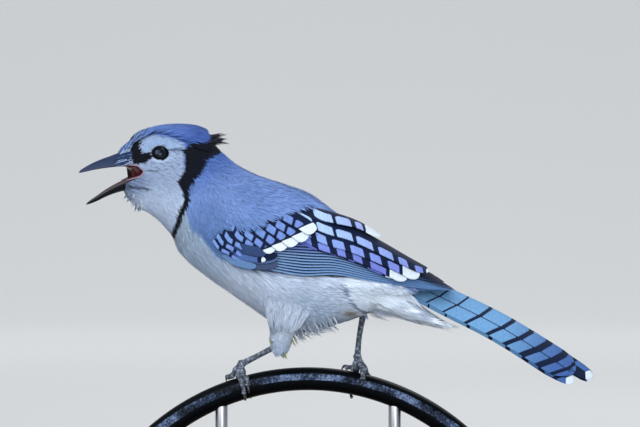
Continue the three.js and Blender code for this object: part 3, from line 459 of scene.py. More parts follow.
def turned(points):
    """The same points with the head turned a little to its left, as it is held."""
    angle = head_angle(points)
    x, y, z = np.moveaxis(points, -1, 0)
    return np.stack([x - y * np.sin(angle), (x - HEAD_PIVOT) * np.tan(angle) + y * np.cos(angle), z], -1)


def placed(points):
    """From the bird's own frame in millimetres, head turned, to the row frame in metres."""
    return turned(np.asarray(points, float)) * MM + np.array([AHEAD * MM, 0, PERCH_TOP])


def tube_faces(rows, sides):
    """Faces of a closed tube of points, whose last two points are the middles of its ends."""
    around = np.arange(sides)
    beyond = (around + 1) % sides
    first, last = np.full(sides, rows * sides), np.full(sides, rows * sides + 1)
    front = np.stack([first, beyond, around], -1)
    back = np.stack([last, (rows - 1) * sides + around, (rows - 1) * sides + beyond], -1)
    return [grid_faces(rows, sides, True), front, back]


def coat_depth(points):
    """How thick the coat lies on the skin: thin on the face, deep on the belly."""
    x, z = points[..., 0], points[..., 2]
    behind_face = smooth_step(x - 0.4 * (z - 90), -88, -52)
    return COAT_ON_FACE + (COAT_ON_BODY - COAT_ON_FACE) * behind_face


skins = []
skin_forms = (("body", BODY, 90), ("vent", VENT, 30), ("left", THIGH_LEFT, 24), ("right", THIGH_RIGHT, 24))
skin_turns = np.linspace(0, 2 * math.pi, SKIN_SIDES, endpoint=False)
for name, rows, steps in skin_forms:
    surface, outward = form(rows, np.linspace(0, len(rows) - 1, steps)[:, None], skin_turns)
    ends = np.stack([surface[0].mean(0), surface[-1].mean(0)])
    sunk = surface - coat_depth(surface)[..., None] * outward
    points = np.concatenate([sunk.reshape(-1, 3), ends])
    skins.append(mesh_piece(f"skin_{name}", points * MM, tube_faces(steps, SKIN_SIDES)))
mouth_points = [(x, y, z) for y in (-MOUTH_HALF, MOUTH_HALF) for x, z in OPEN_MOUTH]
sides = len(OPEN_MOUTH)
cap = np.array([[0, k, k + 1] for k in range(1, sides - 1)])
mouth_faces = [cap, cap[:, ::-1] + sides, grid_faces(2, sides, True)[:, ::-1]]
mouth_cut = mesh_piece("mouth_cut", np.array(mouth_points) * MM, mouth_faces)
bpy.ops.object.select_all(action="DESELECT")
for piece in skins:
    piece.select_set(True)
skin = skins[0]
bpy.context.view_layer.objects.active = skin
bpy.ops.object.join()
bpy.ops.object.mode_set(mode="EDIT")
bpy.ops.mesh.select_all(action="SELECT")
bpy.ops.mesh.normals_make_consistent(inside=False)
bpy.ops.object.mode_set(mode="OBJECT")
for kind, values in (
    ("REMESH", {"mode": "VOXEL", "voxel_size": SKIN_STEP}),
    ("BOOLEAN", {"operation": "DIFFERENCE", "object": mouth_cut, "solver": "EXACT"}),
    ("SMOOTH", {"factor": 0.5, "iterations": 3}),
):
    step = skin.modifiers.new(kind.lower(), kind)
    for key, value in values.items():
        setattr(step, key, value)
    bpy.ops.object.modifier_apply(modifier=step.name)
bpy.data.objects.remove(mouth_cut)
skin.name = "skin"
skin_points = np.empty(len(skin.data.vertices) * 3)
skin.data.vertices.foreach_get("co", skin_points)
skin_points = skin_points.reshape(-1, 3) / MM

# The markings, shared by the skin and every feather of the coat: blue above and white below,
# a black collar from the nape to the throat, black lores, a pale brow.
SEEN = {
    "collar": [
        (-66.0, 105.2), (-64.0, 106.5), (-58.2, 107.6), (-55.0, 110.6), (-52.4, 112.6), (-46.5, 110.5),
        (-45.5, 106.0), (-48.5, 104.3), (-50.9, 102.3), (-54.3, 99.6), (-55.8, 96.5), (-58.7, 92.4),
        (-61.1, 88.8), (-63.6, 85.0), (-66.0, 84.4), (-68.6, 89.9), (-67.4, 91.7), (-65.4, 94.9),
        (-65.0, 100.4),
    ],
    "lore": [
        (-88.4, 111.0), (-86.0, 110.6), (-86.5, 107.2), (-85.4, 103.6), (-81.2, 103.9), (-80.4, 101.4),
        (-84.1, 98.7), (-89.2, 98.2), (-90.9, 100.6), (-91.6, 103.5), (-91.0, 107.2), (-90.0, 110.0),
    ],
    "brow": [
        (-86.7, 111.0), (-80.5, 112.2), (-74.7, 110.8), (-67.6, 108.3), (-66.2, 105.9), (-71.4, 104.6),
        (-74.7, 107.2), (-78.3, 107.8), (-82.0, 104.8), (-85.2, 104.0),
    ],
    "forehead": [
        (-98.0, 103.0), (-95.0, 108.8), (-90.7, 112.5), (-86.3, 116.0), (-82.5, 117.0), (-84.4, 111.5),
        (-87.3, 109.1), (-89.2, 105.7),
    ],
}
COLLAR_BAND = [(-64.5, 84.4), (-64.0, 81.0), (-65.7, 77.1), (-67.7, 72.3), (-69.4, 67.9), (-72.4, 62.0)]
MALAR_LINE = [(-94.2, 86.2), (-90.7, 87.3), (-87.8, 86.8), (-84.6, 86.6), (-82.0, 85.8)]
GAPE_LINE = [(-86.4, 94.0), (-83.9, 94.8), (-81.5, 95.1), (-78.6, 94.8), (-77.1, 95.5)]
EYE_LINE = [(-73.4, 104.2), (-70.0, 105.2), (-66.8, 105.6)]
# The vent's fold: a painted shadow line along the crease at the vent.
VENT_FOLD_SHADE = [(10.7, 40.3), (13.1, 33.5), (17.9, 28.1), (25.2, 24.7)]
CROWN_LINE = [
    (-110.0, 98.0), (-96.0, 104.3), (-91.7, 105.7), (-86.3, 109.6), (-84.4, 111.5), (-80.0, 112.3),
    (-75.2, 111.5), (-70.3, 110.3), (-65.5, 108.2), (-62.1, 106.0),
]
THROAT_LINE = [(-110, 60), (-72, 62), (-64, 78), (-60, 130)]
CHIN_LINE = [(-100, 74), (-80, 90), (-60, 96)]
EYE_SEEN = (-76.9, 103.8)  # where the eye's middle is seen from the left
EYE_FLAT = 0.84
# A row holds: a thin dark line of the side view, its tone, its half width, how strong it is.
THIN_LINES = (
    (MALAR_LINE, "lore", 0.3, 0.7), (GAPE_LINE, "lore", 0.2, 0.5), (EYE_LINE, "lore", 0.4, 0.6),
    (VENT_FOLD_SHADE, "streak", 0.4, 0.8),
)
BREAST_LINE = [
    (-66.0, 84.0), (-64.0, 81.5), (-64.7, 75.2), (-63.5, 70.3), (-61.8, 66.0), (-55.8, 61.1),
    (-52.9, 56.7), (-44.9, 51.9), (-36.4, 47.0), (-19.4, 45.1), (20.0, 44.0), (40.0, 39.0),
    (70.0, 24.0),
]
PLUMAGE = {
    "crown": (98, 132, 200), "crest": (70, 100, 174), "nape": (78, 109, 178), "mantle": (116, 145, 203),
    "side": (84, 117, 170), "face": (152, 170, 200), "brow": (150, 174, 210), "throat": (186, 204, 232),
    "breast": (156, 176, 200), "belly": (188, 202, 223), "flank_shade": (150, 172, 196), "rear": (212, 225, 241),
    "collar": (9, 15, 27), "lore": (7, 12, 21), "vent": (130, 122, 92), "streak": (88, 110, 148),
}


def side_view(points):
    """Where each point is seen from the left, whichever side it is on: (along, up)."""
    left = points * np.array([1, 0, 1]) - np.abs(points) * np.array([0, 1, 0])
    seen = turned(left)
    return seen[..., 0], seen[..., 2]


def off_stretch(x, z, start, end):
    """How far places lie from a straight stretch, and the share along it that each is nearest to."""
    (ax, az), (bx, bz) = start, end
    share = np.clip(((x - ax) * (bx - ax) + (z - az) * (bz - az)) / ((bx - ax) ** 2 + (bz - az) ** 2), 0, 1)
    return np.hypot(x - ax - share * (bx - ax), z - az - share * (bz - az)), share


def inside(x, z, outline):
    """How deep a place of the side view lies inside an outline, in millimetres; negative outside."""
    corners = np.array(outline)
    nearest = np.full(x.shape, 1e9)
    within = np.zeros(x.shape, bool)
    for (ax, az), (bx, bz) in zip(corners, np.roll(corners, -1, 0)):
        nearest = np.minimum(nearest, off_stretch(x, z, (ax, az), (bx, bz))[0])
        if az != bz:
            within ^= ((az > z) != (bz > z)) & (x < (bx - ax) * (z - az) / (bz - az) + ax)
    return np.where(within, nearest, -nearest)


def beside(x, z, line):
    """Distance from a line of the side view, and the share of its corners passed at the nearest place."""
    corners = np.array(line)
    nearest = np.full(x.shape, 1e9)
    place = np.zeros(x.shape)
    for i, (start, end) in enumerate(zip(corners[:-1], corners[1:])):
        gap, share = off_stretch(x, z, start, end)
        closer = gap < nearest
        nearest = np.where(closer, gap, nearest)
        place = np.where(closer, (i + share) / (len(corners) - 1), place)
    return nearest, place


def above(x, z, line):
    """How far a place of the side view lies above a line, measured straight up."""
    corners = np.array(line)
    return z - np.interp(x, corners[:, 0], corners[:, 1])


def blend(below, over, share):
    """Two colours mixed by a share at each place."""
    return below + (over - below) * np.clip(share, 0, 1)[..., None]


def tint(colour):
    """A colour of 0 to 255 a channel, as three channels of the renderer's own scale."""
    return np.array(linear(colour)[:3])


def around_place(x, z, middle, reach):
    """1 at a place of the side view, falling off softly over a reach along and up."""
    return np.exp(-(((x - middle[0]) / reach[0]) ** 2 + ((z - middle[1]) / reach[1]) ** 2))


def body_colours(x, z, tones):
    """The white and grey underside with its throat, painted shade by the thighs, and the blue back down to
    a soft edge.
    """
    colour = blend(tones["belly"], tones["breast"], 1 - smooth_step(np.hypot(x + 60, z - 62), 8, 30))
    # Painted shade in blue-grey on the belly's rear by the thigh's top and under the thigh; the same tone
    # greys the undertail towards its end.
    colour = blend(colour, tones["flank_shade"], 0.8 * around_place(x, z, (-1, 27), (11, 9)))
    colour = blend(colour, tones["rear"], smooth_step(x + 0.4 * (z - 30), 13, 18))
    colour = blend(colour, tones["flank_shade"], 0.45 * smooth_step(x, 34, 50))
    colour = blend(colour, tones["flank_shade"], 0.5 * around_place(x, z, (-9, 33), (9, 8)))
    colour = blend(colour, tones["flank_shade"], 0.6 * (1 - smooth_step(z, 7, 17)) * smooth_step(-x, 5, 9))
    throat = smooth_step(above(x, z, THROAT_LINE), -2, 1)
    colour = blend(colour, tones["throat"], throat)
    colour = blend(colour, tones["face"], smooth_step(z, 78, 90) * throat)
    streaks = np.sin(3.1 * (z + 0.25 * x) + 1.7 * np.sin(0.9 * x)) * np.sin(0.8 * x + 0.7 * z)
    streaks = smooth_step(streaks, 0.2, 0.9) * smooth_step(z, 86, 97)
    colour = blend(colour, tones["streak"], streaks * throat * 0.6)
    chin = smooth_step(above(x, z, CHIN_LINE), -6, 6) * (1 - smooth_step(z, 90, 95))
    chin = chin * smooth_step(-x, 76, 88) * (0.62 + 0.25 * np.sin(3.4 * z + 1.1 * x))
    colour = blend(colour, tones["streak"], chin * throat)
    wisps = 0.9 * np.sin(0.9 * x + 0.5 * z) + 0.6 * np.sin(2.3 * x - 0.7 * z)
    upper = smooth_step(above(x, z, BREAST_LINE) + wisps, -1.6, 2.2) * smooth_step(x, -66.5, -64.5)
    mantle = blend(tones["side"], tones["mantle"], smooth_step(z, 60, 80))
    patches = np.sin(0.16 * x + 0.5) * np.sin(0.21 * z + 0.09 * x)
    mantle = blend(mantle, tones["side"], 0.35 * smooth_step(patches, 0.1, 0.9))
    mantle = blend(mantle, tones["nape"], smooth_step(z - 0.5 * x, 109, 127) * smooth_step(-x, 20, 44))
    return blend(colour, mantle, upper)


def plumage(points):
    """The coat's colour at points of the body: the body's own, then the marks of the head over it."""
    x, z = side_view(points)
    tones = {name: tint(value) for name, value in PLUMAGE.items()}
    colour = body_colours(x, z, tones)
    crown = smooth_step(above(x, z, CROWN_LINE), -0.5, 0.7) * ((x < -50) & (z > 96))
    blue = blend(tones["crown"], tones["crest"], smooth_step(x, -76, -58))
    colour = blend(colour, blue, crown)
    mottle = np.sin(x * 3.1 + z * 1.3) * np.sin(z * 3.7 - x * 1.1) + 0.4 * np.sin(x * 6.1 + z * 4.9)
    forehead = smooth_step(inside(x, z, SEEN["forehead"]), -0.6, 0.6)
    colour = blend(colour, tones["lore"], forehead * smooth_step(mottle, -0.1, 0.4) * 0.7)
    colour = blend(colour, tones["brow"], forehead * smooth_step(-mottle, 0.1, 0.7) * 0.7)
    colour = blend(colour, tones["brow"], smooth_step(inside(x, z, SEEN["brow"]), -0.5, 0.5))
    eye_ring = np.hypot(x - EYE_SEEN[0], (z - EYE_SEEN[1]) / EYE_FLAT)
    under_eye = (1 - smooth_step(np.abs(eye_ring - 5.0), 0.3, 1.0)) * smooth_step(-z, -104, -102)
    colour = blend(colour, tones["throat"], under_eye)
    for line, name, half, share in THIN_LINES:
        gap = beside(x, z, line)[0]
        colour = blend(colour, tones[name], share * (1 - smooth_step(gap, half, half + 0.6)))
    colour = blend(colour, tones["lore"], 1 - smooth_step(eye_ring, 3.8, 4.4))
    ragged = (0.35 + 0.9 * smooth_step(z, 104, 108)) * mottle
    colour = blend(colour, tones["lore"], smooth_step(inside(x, z, SEEN["lore"]) + ragged, -0.4, 0.4))
    colour = blend(colour, tones["collar"], smooth_step(inside(x, z, SEEN["collar"]), -0.5, 0.4))
    gap, share = beside(x, z, COLLAR_BAND)
    colour = blend(colour, tones["collar"], 1 - smooth_step(gap, 1.1 - 0.3 * share, 1.9 - 0.3 * share))
    return blend(colour, tones["vent"], 0.9 * around_place(x, z, (14, 26.2), (3.6, 1.6)))


def paint(piece, colours):
    """Stores a colour for each of the piece's points."""
    layer = piece.data.color_attributes.new("plumage", "FLOAT_COLOR", "POINT")
    values = np.concatenate([colours.reshape(-1, 3), np.ones((colours.size // 3, 1))], 1)
    layer.data.foreach_set("color", values.ravel())


def painted(material):
    """The colour that paint stores, for a material."""
    made = node(material, "ShaderNodeVertexColor")
    made.layer_name = "plumage"
    return made.outputs["Color"]


coat_material, coat_shader = new_material(
    "contour_feathers", 0.78, Specular_IOR_Level=0.14, Sheen_Weight=0.04, Sheen_Roughness=0.5
)
wire(coat_material, painted(coat_material), coat_shader.inputs["Base Color"])
# The skin takes the coat's colours darkened: painted shade in the gaps between the feathers.
shaded_skin_colour = plumage(skin_points) * 0.8
in_mouth = inside(skin_points[:, 0], skin_points[:, 2], OPEN_MOUTH)
shaded_skin_colour = blend(shaded_skin_colour, tint((60, 18, 26)), smooth_step(in_mouth, -0.9, -0.3))
paint(skin, shaded_skin_colour)
skin.data.vertices.foreach_set("co", placed(skin_points).ravel())
skin.data.update()
finish_piece(skin, coat_material, ["head", "neck", "torso", "thigh_left", "thigh_right"])

# The coat: small contour feathers, laid like tiles from the bill backwards. Each is a tuft of
# barbs that starts in the skin and ends at the surface, shortest on the face.
# A row of LIE holds: along, up, the way they point in degrees, length, width.
LIE = (
    (-96, 104, 48, 2.4, 1.3), (-90, 111, 34, 3.0, 1.6), (-82, 116, 12, 4.6, 2.4),
    (-74, 118, 2, 6.5, 3.2), (-62, 115, -6, 8.0, 3.8), (-80, 109, 3, 2.8, 1.5),
    (-89, 101, 14, 2.0, 1.2), (-78, 97, -12, 2.8, 1.5), (-68, 99, -22, 4.6, 2.4),
    (-76, 88, -28, 4.8, 2.4), (-90, 83, -30, 3.4, 1.7), (-82, 74, -40, 6.0, 2.8),
    (-74, 62, -56, 8.0, 3.8), (-47, 103, -44, 7.5, 4.0), (-56, 86, -60, 7.5, 4.0),
    (-25, 91, -22, 10.5, 6.0), (0, 83, -30, 12.0, 6.6), (-48, 70, -50, 9.5, 5.4),
    (-25, 72, -30, 11.5, 6.6), (-62, 52, -56, 10.5, 5.8), (-42, 36, -44, 12.5, 6.4),
    (-22, 26, -36, 13.5, 6.6), (-20, 42, -24, 13.5, 7.0), (2, 26, -26, 13.0, 6.2),
    (25, 62, -36, 11.5, 6.6), (20, 30, -20, 11.5, 5.8), (44, 46, -30, 9.5, 5.6),
    (-22, 10, -78, 7.0, 3.6), (-16, 22, -60, 10.0, 5.0),
)
WING_AREA = [
    (-51.0, 59.8), (-38.0, 65.5), (-28.0, 69.5), (-17.0, 74.8), (-8.0, 76.2), (4.0, 76.8),
    (14.0, 74.5), (30.0, 62.0), (70.0, 38.0), (62.0, 35.5), (39.0, 40.0), (22.0, 43.4), (12.0, 45.0),
    (-19.4, 45.6), (-28.0, 46.8), (-37.0, 49.2), (-43.5, 52.4), (-47.0, 56.0),
]
BARB_ROWS = (0.0, 0.4, 0.75, 1.0)
THIGH_MERGE = (0.9, 2.6)  # where the thigh, from its top down, stops taking the light as the belly does
THIGH_WAYS = (0.5, 3.2)
NUDGE = 0.01
# Every barb has two points at each of its rows but one at its tip, and this is how bright they are.
BARB_SHADE = np.array([0.7, 0.7, 0.9, 0.9, 1.0, 1.0, 1.02])
BARB_POINTS = len(BARB_SHADE)


def lie(x, z):
    """The way, length and width of feathers at places of the side view, from the nearest rows of LIE."""
    table = np.array(LIE, float)
    share = ((x[:, None] - table[:, 0]) ** 2 + (z[:, None] - table[:, 1]) ** 2 + 6.0) ** -2.0
    share /= share.sum(1, keepdims=True)
    angle = np.radians(table[:, 2])
    way = np.stack([share @ np.cos(angle), np.zeros(len(x)), share @ np.sin(angle)], -1)
    return way, share @ table[:, 3], share @ table[:, 4]


def scatter(rows, count, seed, spacing, allowed, ways, turns=(-math.pi, math.pi)):
    """Random roots over a form, none nearer another than spacing gives: their ways and turns."""
    draw = np.random.default_rng(seed)
    way = draw.uniform(*ways, count)
    turn = draw.uniform(*turns, count)
    point = form(rows, way, turn)[0]
    by_way = form(rows, way + NUDGE, turn)[0] - point
    by_turn = form(rows, way, turn + NUDGE)[0] - point
    area = np.linalg.norm(np.cross(by_way, by_turn), axis=1)
    keep = draw.uniform(0, area.max(), count) < area
    way, turn, point = way[keep], turn[keep], point[keep]
    keep = allowed(point, turn)
    way, turn, point = way[keep], turn[keep], point[keep]
    gap = spacing(point)
    tree = KDTree(len(point))
    for i, place in enumerate(point):
        tree.insert(place, i)
    tree.balance()
    taken = np.zeros(len(point), bool)
    blocked = np.zeros(len(point), bool)
    for i, place in enumerate(point):
        if blocked[i]:
            continue
        taken[i] = True
        for _, other, _ in tree.find_range(place, gap[i]):
            blocked[other] = True
    return way[taken], turn[taken]


def slopes(rows, way, turn, lift=0.0):
    """Points of a form, its outward directions, and how the points move with way and with turn."""
    point, outward = form(rows, way, turn, lift)
    by_way = (form(rows, way + NUDGE, turn, lift)[0] - point) / NUDGE
    by_turn = (form(rows, way, turn + NUDGE, lift)[0] - point) / NUDGE
    return point, outward, by_way, by_turn


def along_form(rows, way, turn, direction):
    """Steps in way and turn that move a millimetre over the form, in a direction and to its side."""
    _, outward, ahead, around = slopes(rows, way, turn)
    normal = np.cross(around, ahead)
    normal *= np.sign((normal * outward).sum(1, keepdims=True))
    normal = unit(normal)
    direction = unit(direction - normal * (direction * normal).sum(1, keepdims=True))
    sideways = np.cross(normal, direction)
    aa, ab, bb = ((u * v).sum(1) for u, v in ((ahead, ahead), (ahead, around), (around, around)))
    whole = aa * bb - ab * ab
    steps = []
    for wanted in (direction, sideways):
        a, b = (ahead * wanted).sum(1), (around * wanted).sum(1)
        steps.append(((a * bb - b * ab) / whole, (b * aa - a * ab) / whole))
    return steps


def tufts(rows, way, turn, seed, barbs, length, width, direction, root_lift, tip_lift, spread=0.34):
    """One tuft of barbs at each root, laid along the form, as coat_piece takes them."""
    draw = np.random.default_rng(seed)
    count = len(way)
    (ahead_way, ahead_turn), (side_way, side_turn) = along_form(rows, way, turn, direction)
    fan = np.linspace(-1, 1, barbs)[None, :] + draw.uniform(-0.12, 0.12, (count, barbs))
    reach = length[:, None] * (1 - spread * fan**2 + draw.uniform(-0.07, 0.07, (count, barbs)))
    t = np.array(BARB_ROWS)
    out = 0.5 * width[:, None, None] * fan[..., None] * t**0.7
    out = out + draw.uniform(-0.05, 0.05, (count, barbs, 1)) * width[:, None, None] * t**2
    ahead = reach[..., None] * t
    barb = 0.5 * (1.6 * width / barbs)[:, None, None] * np.array([0.8, 1.0, 0.76, 0.0])
    lift = root_lift[:, None, None] + (tip_lift - root_lift)[:, None, None] * t**0.9
    lift = lift - 0.12 * width[:, None, None] * fan[..., None] ** 2 * t
    lift = lift + draw.uniform(-0.1, 0.1, (count, barbs, 1))
    edges = np.stack([out - barb, out + barb], -1)
    ahead = np.broadcast_to(ahead[..., None], edges.shape)
    lift = np.broadcast_to(lift[..., None], edges.shape)
    each = (count, 1, 1, 1)
    at_way = way.reshape(each) + ahead_way.reshape(each) * ahead + side_way.reshape(each) * edges
    at_turn = turn.reshape(each) + ahead_turn.reshape(each) * ahead + side_turn.reshape(each) * edges
    points, outward = (v.reshape(count, barbs, -1, 3)[:, :, :-1] for v in form(rows, at_way, at_turn, lift))
    tone = plumage(points[:, :, 4:6].mean(2))
    return barb_parts(rows, way, turn, draw, points, outward, tone, fan)


def barb_parts(rows, way, turn, draw, points, outward, tone, fan):
    """Points, normals, colours, places on the bake map and faces of barbs, from their points."""
    count, barbs = fan.shape
    bright = 1 + draw.normal(0, 0.045, (count, 1, 1)) + draw.normal(0, 0.07, (count, barbs, 1))
    colours = tone[:, :, None] * bright[..., None] * BARB_SHADE[None, None, :, None]
    first = BARB_POINTS * np.arange(count * barbs)[:, None]
    quads = (first[:, None] + np.array([[0, 2, 3, 1], [2, 4, 5, 3]])).reshape(-1, 4)
    tips = first + np.array([4, 6, 5])
    t = np.array(BARB_ROWS)
    patch = 0.0015 * np.stack([fan[..., None] + 0 * t, 2 * t + 0 * fan[..., None] - 1], -1)
    patch = np.repeat(patch, 2, 2)[:, :, :BARB_POINTS]
    place = np.stack([way / (len(rows) - 1), turn / (2 * math.pi) + 0.5], -1)
    bake = place[:, None, None] * 0.99 + 0.003 + patch
    normals = outward + draw.normal(0, 0.08, (count, barbs, 1, 3))
    return points, normals, colours, bake, [quads, tips]


def locks(rows, way, turn, lift, tip, seed, barbs, width, bow, tone, spread=0.3):
    """Tufts that leave the surface: each from its root to a tip, bowed outwards on the way."""
    draw = np.random.default_rng(seed)
    count = len(way)
    root, outward = form(rows, way, turn, lift)
    ahead = tip - root
    side = unit(np.cross(outward, ahead))
    fan = np.linspace(-1, 1, barbs)[None, :] + draw.uniform(-0.15, 0.15, (count, barbs))
    reach = 1 - spread * fan**2 + draw.uniform(-0.1, 0.1, (count, barbs))
    t = np.array(BARB_ROWS)
    out = 0.5 * width * fan[..., None] * t**0.7
    out = out + draw.uniform(-0.07, 0.07, (count, barbs, 1)) * width * t**2
    barb = 0.5 * (1.5 * width / barbs) * np.array([0.8, 1.0, 0.72, 0.0])
    edges = np.stack([out - barb, out + barb], -1)
    run = (reach[..., None] * t)[..., None, None]
    each = (count, 1, 1, 1, 3)
    points = root.reshape(each) + ahead.reshape(each) * run + side.reshape(each) * edges[..., None]
    points = points + outward.reshape(each) * (bow * np.sin(math.pi * t**0.8))[:, None, None]
    points = points.reshape(count, barbs, -1, 3)[:, :, :-1]
    tone = np.broadcast_to(np.asarray(tone).reshape(-1, 1, 3), (count, barbs, 3))
    outward = np.broadcast_to(outward[:, None, None], points.shape)
    return barb_parts(rows, way, turn, draw, points, outward, tone, fan)


def coat_piece(name, parts, material, replaces=()):
    """One piece from parts made by tufts or locks, with its colours and its map for baking. Its
    normals stand out from the body, so that the feathers take the light as one soft surface."""
    flat = ([part[k].reshape(-1, part[k].shape[-1]) for part in parts] for k in range(4))
    points, normals, colours, bake = (np.concatenate(arrays) for arrays in flat)
    faces, first = [], 0
    for part in parts:
        faces += [first + f for f in part[4]]
        first += part[0].size // 3
    piece = mesh_piece(name, placed(points), faces)
    paint(piece, np.clip(colours, 0, 1))
    add_map(piece, "OFBake", bake, faces)
    finish_piece(piece, material, replaces)
    angle = head_angle(points)
    x, y, z = np.moveaxis(normals, -1, 0)
    aimed = np.stack([x * np.cos(angle) - y * np.sin(angle), x * np.sin(angle) + y * np.cos(angle), z], -1)
    layer = piece.data.attributes.new("custom_normal", "FLOAT_VECTOR", "POINT")
    layer.data.foreach_set("vector", unit(aimed).astype(np.float32).ravel())
    return piece


def wing_bulge(point, turn):
    """The coat lies higher where it passes over the folded wing's shoulder."""
    x, z = point[..., 0], point[..., 2]
    over = smooth_step(x + 0.6 * (z - 60), -46, -26) * smooth_step(z + 0.25 * x, 40, 52)
    return 4.6 * over * smooth_step(np.abs(turn), 0.35, 0.8) * (1 - smooth_step(np.abs(turn), 1.8, 2.2))


def coat_zone(name, rows, seed, count, barbs, density, ways, allowed, longer=1.0, sunk=None):
    """One piece of the coat: the part of a form between two ways, where feathers are allowed."""
    def spacing(point):
        return density * lie(*side_view(point))[1] ** 0.62

    way, turn = scatter(rows, count, seed, spacing, allowed, ways)
    point = form(rows, way, turn)[0]
    direction, length, width = lie(*side_view(point))
    bulge = wing_bulge(point, turn) if sunk is None else -sunk(way)
    deep = bulge - coat_depth(point)
    made = tufts(rows, way, turn, seed + 1, barbs, length * longer, width, direction, deep, bulge)
    if sunk is not None:
        merged = (1 - smooth_step(way, *THIGH_MERGE))[:, None, None, None]
        side = np.sign(rows[0][6])
        made = (made[0], made[1] + merged * np.array([-0.3, side * 0.9, -0.9]), *made[2:])
    return coat_piece(f"coat_{name}", [made], coat_material)


def open_skin(point, turn):
    """Where head and body grow feathers: not in the mouth, the eye, the bill's root or over the wing."""
    x, z = side_view(point)
    mouth = inside(x - 2.6, z, OPEN_MOUTH) > -0.2
    eye = np.hypot(x - EYE_SEEN[0], z - EYE_SEEN[1]) < 4.0
    direction, length, _ = lie(x, z)
    tip_x, tip_z = x + 0.9 * length * direction[:, 0], z + 0.9 * length * direction[:, 2]
    tip_free = 3.0 - 1.8 * smooth_step(x, -52, -42)
    wing = (inside(x, z, WING_AREA) > -1.0) | (inside(tip_x, tip_z, WING_AREA) > tip_free)
    return ~(mouth | eye | (wing & (np.abs(np.sin(turn)) > 0.42) & (z > 44)))


def thigh_sunk(way):
    """How far the thigh's coat is sunk at its top, so that it comes out from under the belly's."""
    return 2.6 * (1 - smooth_step(way, 0.3, 1.6))


coat_zone("head", BODY, 11, 60000, 5, 0.34, (0.1, 6.6), open_skin)
coat_zone("neck", BODY, 21, 40000, 9, 0.36, (6.5, 10.5), open_skin)
coat_zone("trunk", BODY, 31, 40000, 11, 0.36, (10.4, 17.9), open_skin)
coat_zone(
    "thigh_left", THIGH_LEFT, 41, 9000, 9, 0.34, THIGH_WAYS, lambda p, turn: p[:, 1] < 0, 0.8, thigh_sunk
)
coat_zone(
    "thigh_right", THIGH_RIGHT, 51, 9000, 9, 0.34, THIGH_WAYS, lambda p, turn: p[:, 1] > 0, 0.7, thigh_sunk
)

# The wings, folded: flight feathers in their tiers, each one vane with a shaft, its outer web
# barred blue and black, the inner web dark, and white tips. The innermost lies on top.
FOLDED = BODY[:14] + (
    (6.4, 77.5, -22.0, 21.0, 26.4, 0.5),
    (20.6, 66.5, -5.0, 17.0, 25.4, 0.5),
    (33.0, 58.0, 10.0, 20.0, 22.6, 0.5),
    (45.2, 49.0, 25.0, 22.0, 18.6, 0.5),
    (57.4, 41.4, 42.0, 22.0, 14.0, 0.5),
    (70.0, 33.0, 60.0, 18.0, 9.4, 0.5),
    (78.0, 27.6, 70.0, 14.0, 7.6, 0.5),
)
VANE_STEP = 0.6
VANE_COLUMNS = 9
VANE_THICK = 0.34
NAVY = (10, 26, 56)
TIP_WHITE = (216, 228, 238)
BAR_SOFT = 0.16
# A row holds: shaft from root to tip, lifts of root and tip, outer and inner web, how far the inner
# web bends inwards, taper of the tip, width of the light outer web, bars (along, half width), white
# tip, tone at root and tip.
REMIGES = (
    (  # tertial 1
        [(-8.0, 76.8), (1.0, 75.3), (14.5, 72.0), (22.3, 68.6), (29.4, 63.6)],
        (2.0, 5.6), 5.4, 6.5, 0.12, 8.0,
        4.9, [(-5.4, 2.0), (6.0, 0.85), (15.2, 1.1), (20.4, 0.5)], 9.6, (178, 208, 240), (142, 152, 226),
    ),
    (  # tertial 2
        [(-11.6, 73.8), (-1.5, 70.0), (15.0, 65.4), (34.0, 56.2), (52.4, 46.6)],
        (3.0, 4.8), 4.9, 12.0, 0.03, 9.0,
        4.4, [(-2.8, 1.0), (6.4, 0.8), (15.9, 1.0), (26.1, 1.4), (35.8, 1.4), (43.4, 1.8)], 1.4,
        (178, 208, 240), (118, 132, 218),
    ),
    (  # secondary 1
        [(-11.6, 68.9), (-2.9, 65.5), (15.0, 60.2), (34.0, 52.1), (48.0, 44.6)],
        (2.6, 4.3), 4.9, 6.0, 0.03, 5.0,
        4.1, [(-3.6, 1.4), (3.9, 1.4), (12.5, 1.5), (21.8, 1.5), (30.4, 1.7)], 9.4, (138, 168, 224),
        (118, 128, 214),
    ),
    (  # secondary 2
        [(-11.6, 65.2), (-2.9, 61.7), (15.0, 56.4), (32.0, 48.8), (42.0, 43.4)],
        (2.2, 3.8), 4.2, 6.0, 0.03, 5.0,
        3.2, [(-3.0, 1.6), (5.8, 1.8), (13.4, 1.8), (21.6, 2.0)], 9.6, (116, 136, 210), (108, 118, 202),
    ),
    (  # secondary 3
        [(-11.6, 61.8), (-2.9, 59.6), (6.8, 57.4), (20.0, 52.4), (37.0, 44.2)],
        (1.9, 3.3), 3.0, 6.0, 0.03, 7.0,
        1.5, [(1.0, 3.0), (10.0, 3.0), (19.0, 3.2)], 6.0, (84, 98, 176), (100, 110, 190),
    ),
)
PRIMARY_LOW = [(-31.0, 48.2), (-9.7, 44.8), (7.6, 45.0), (24.9, 41.9), (45.6, 38.8)]
PRIMARY_HIGH = [(-23.0, 60.4), (-6.0, 61.4), (8.0, 59.4), (24.0, 53.6), (38.0, 48.8)]
PRIMARY_ENDS = [
    (57.2, 37.8), (61.1, 37.6), (64.0, 37.3), (65.7, 37.3), (64.5, 38.3), (62.6, 39.3), (60.6, 41.5),
    (58.2, 43.0), (55.6, 44.6), (52.4, 45.8), (49.5, 46.3), (46.0, 47.0), (43.8, 47.8),
]
PRIMARY_WEBS = (0.9, 5.4)
PRIMARY_TONES = ((132, 168, 210), (92, 132, 180))  # at the root and the tip of the light edge
PRIMARY_INNER, PRIMARY_SHADE, PRIMARY_END = (92, 100, 176), (62, 92, 146), (18, 28, 46)
COVERT_BARS = [(6.1, 0.9), (12.0, 0.75), (18.0, 0.75)]
COVERT_TONES = ((112, 146, 204), (108, 130, 206))
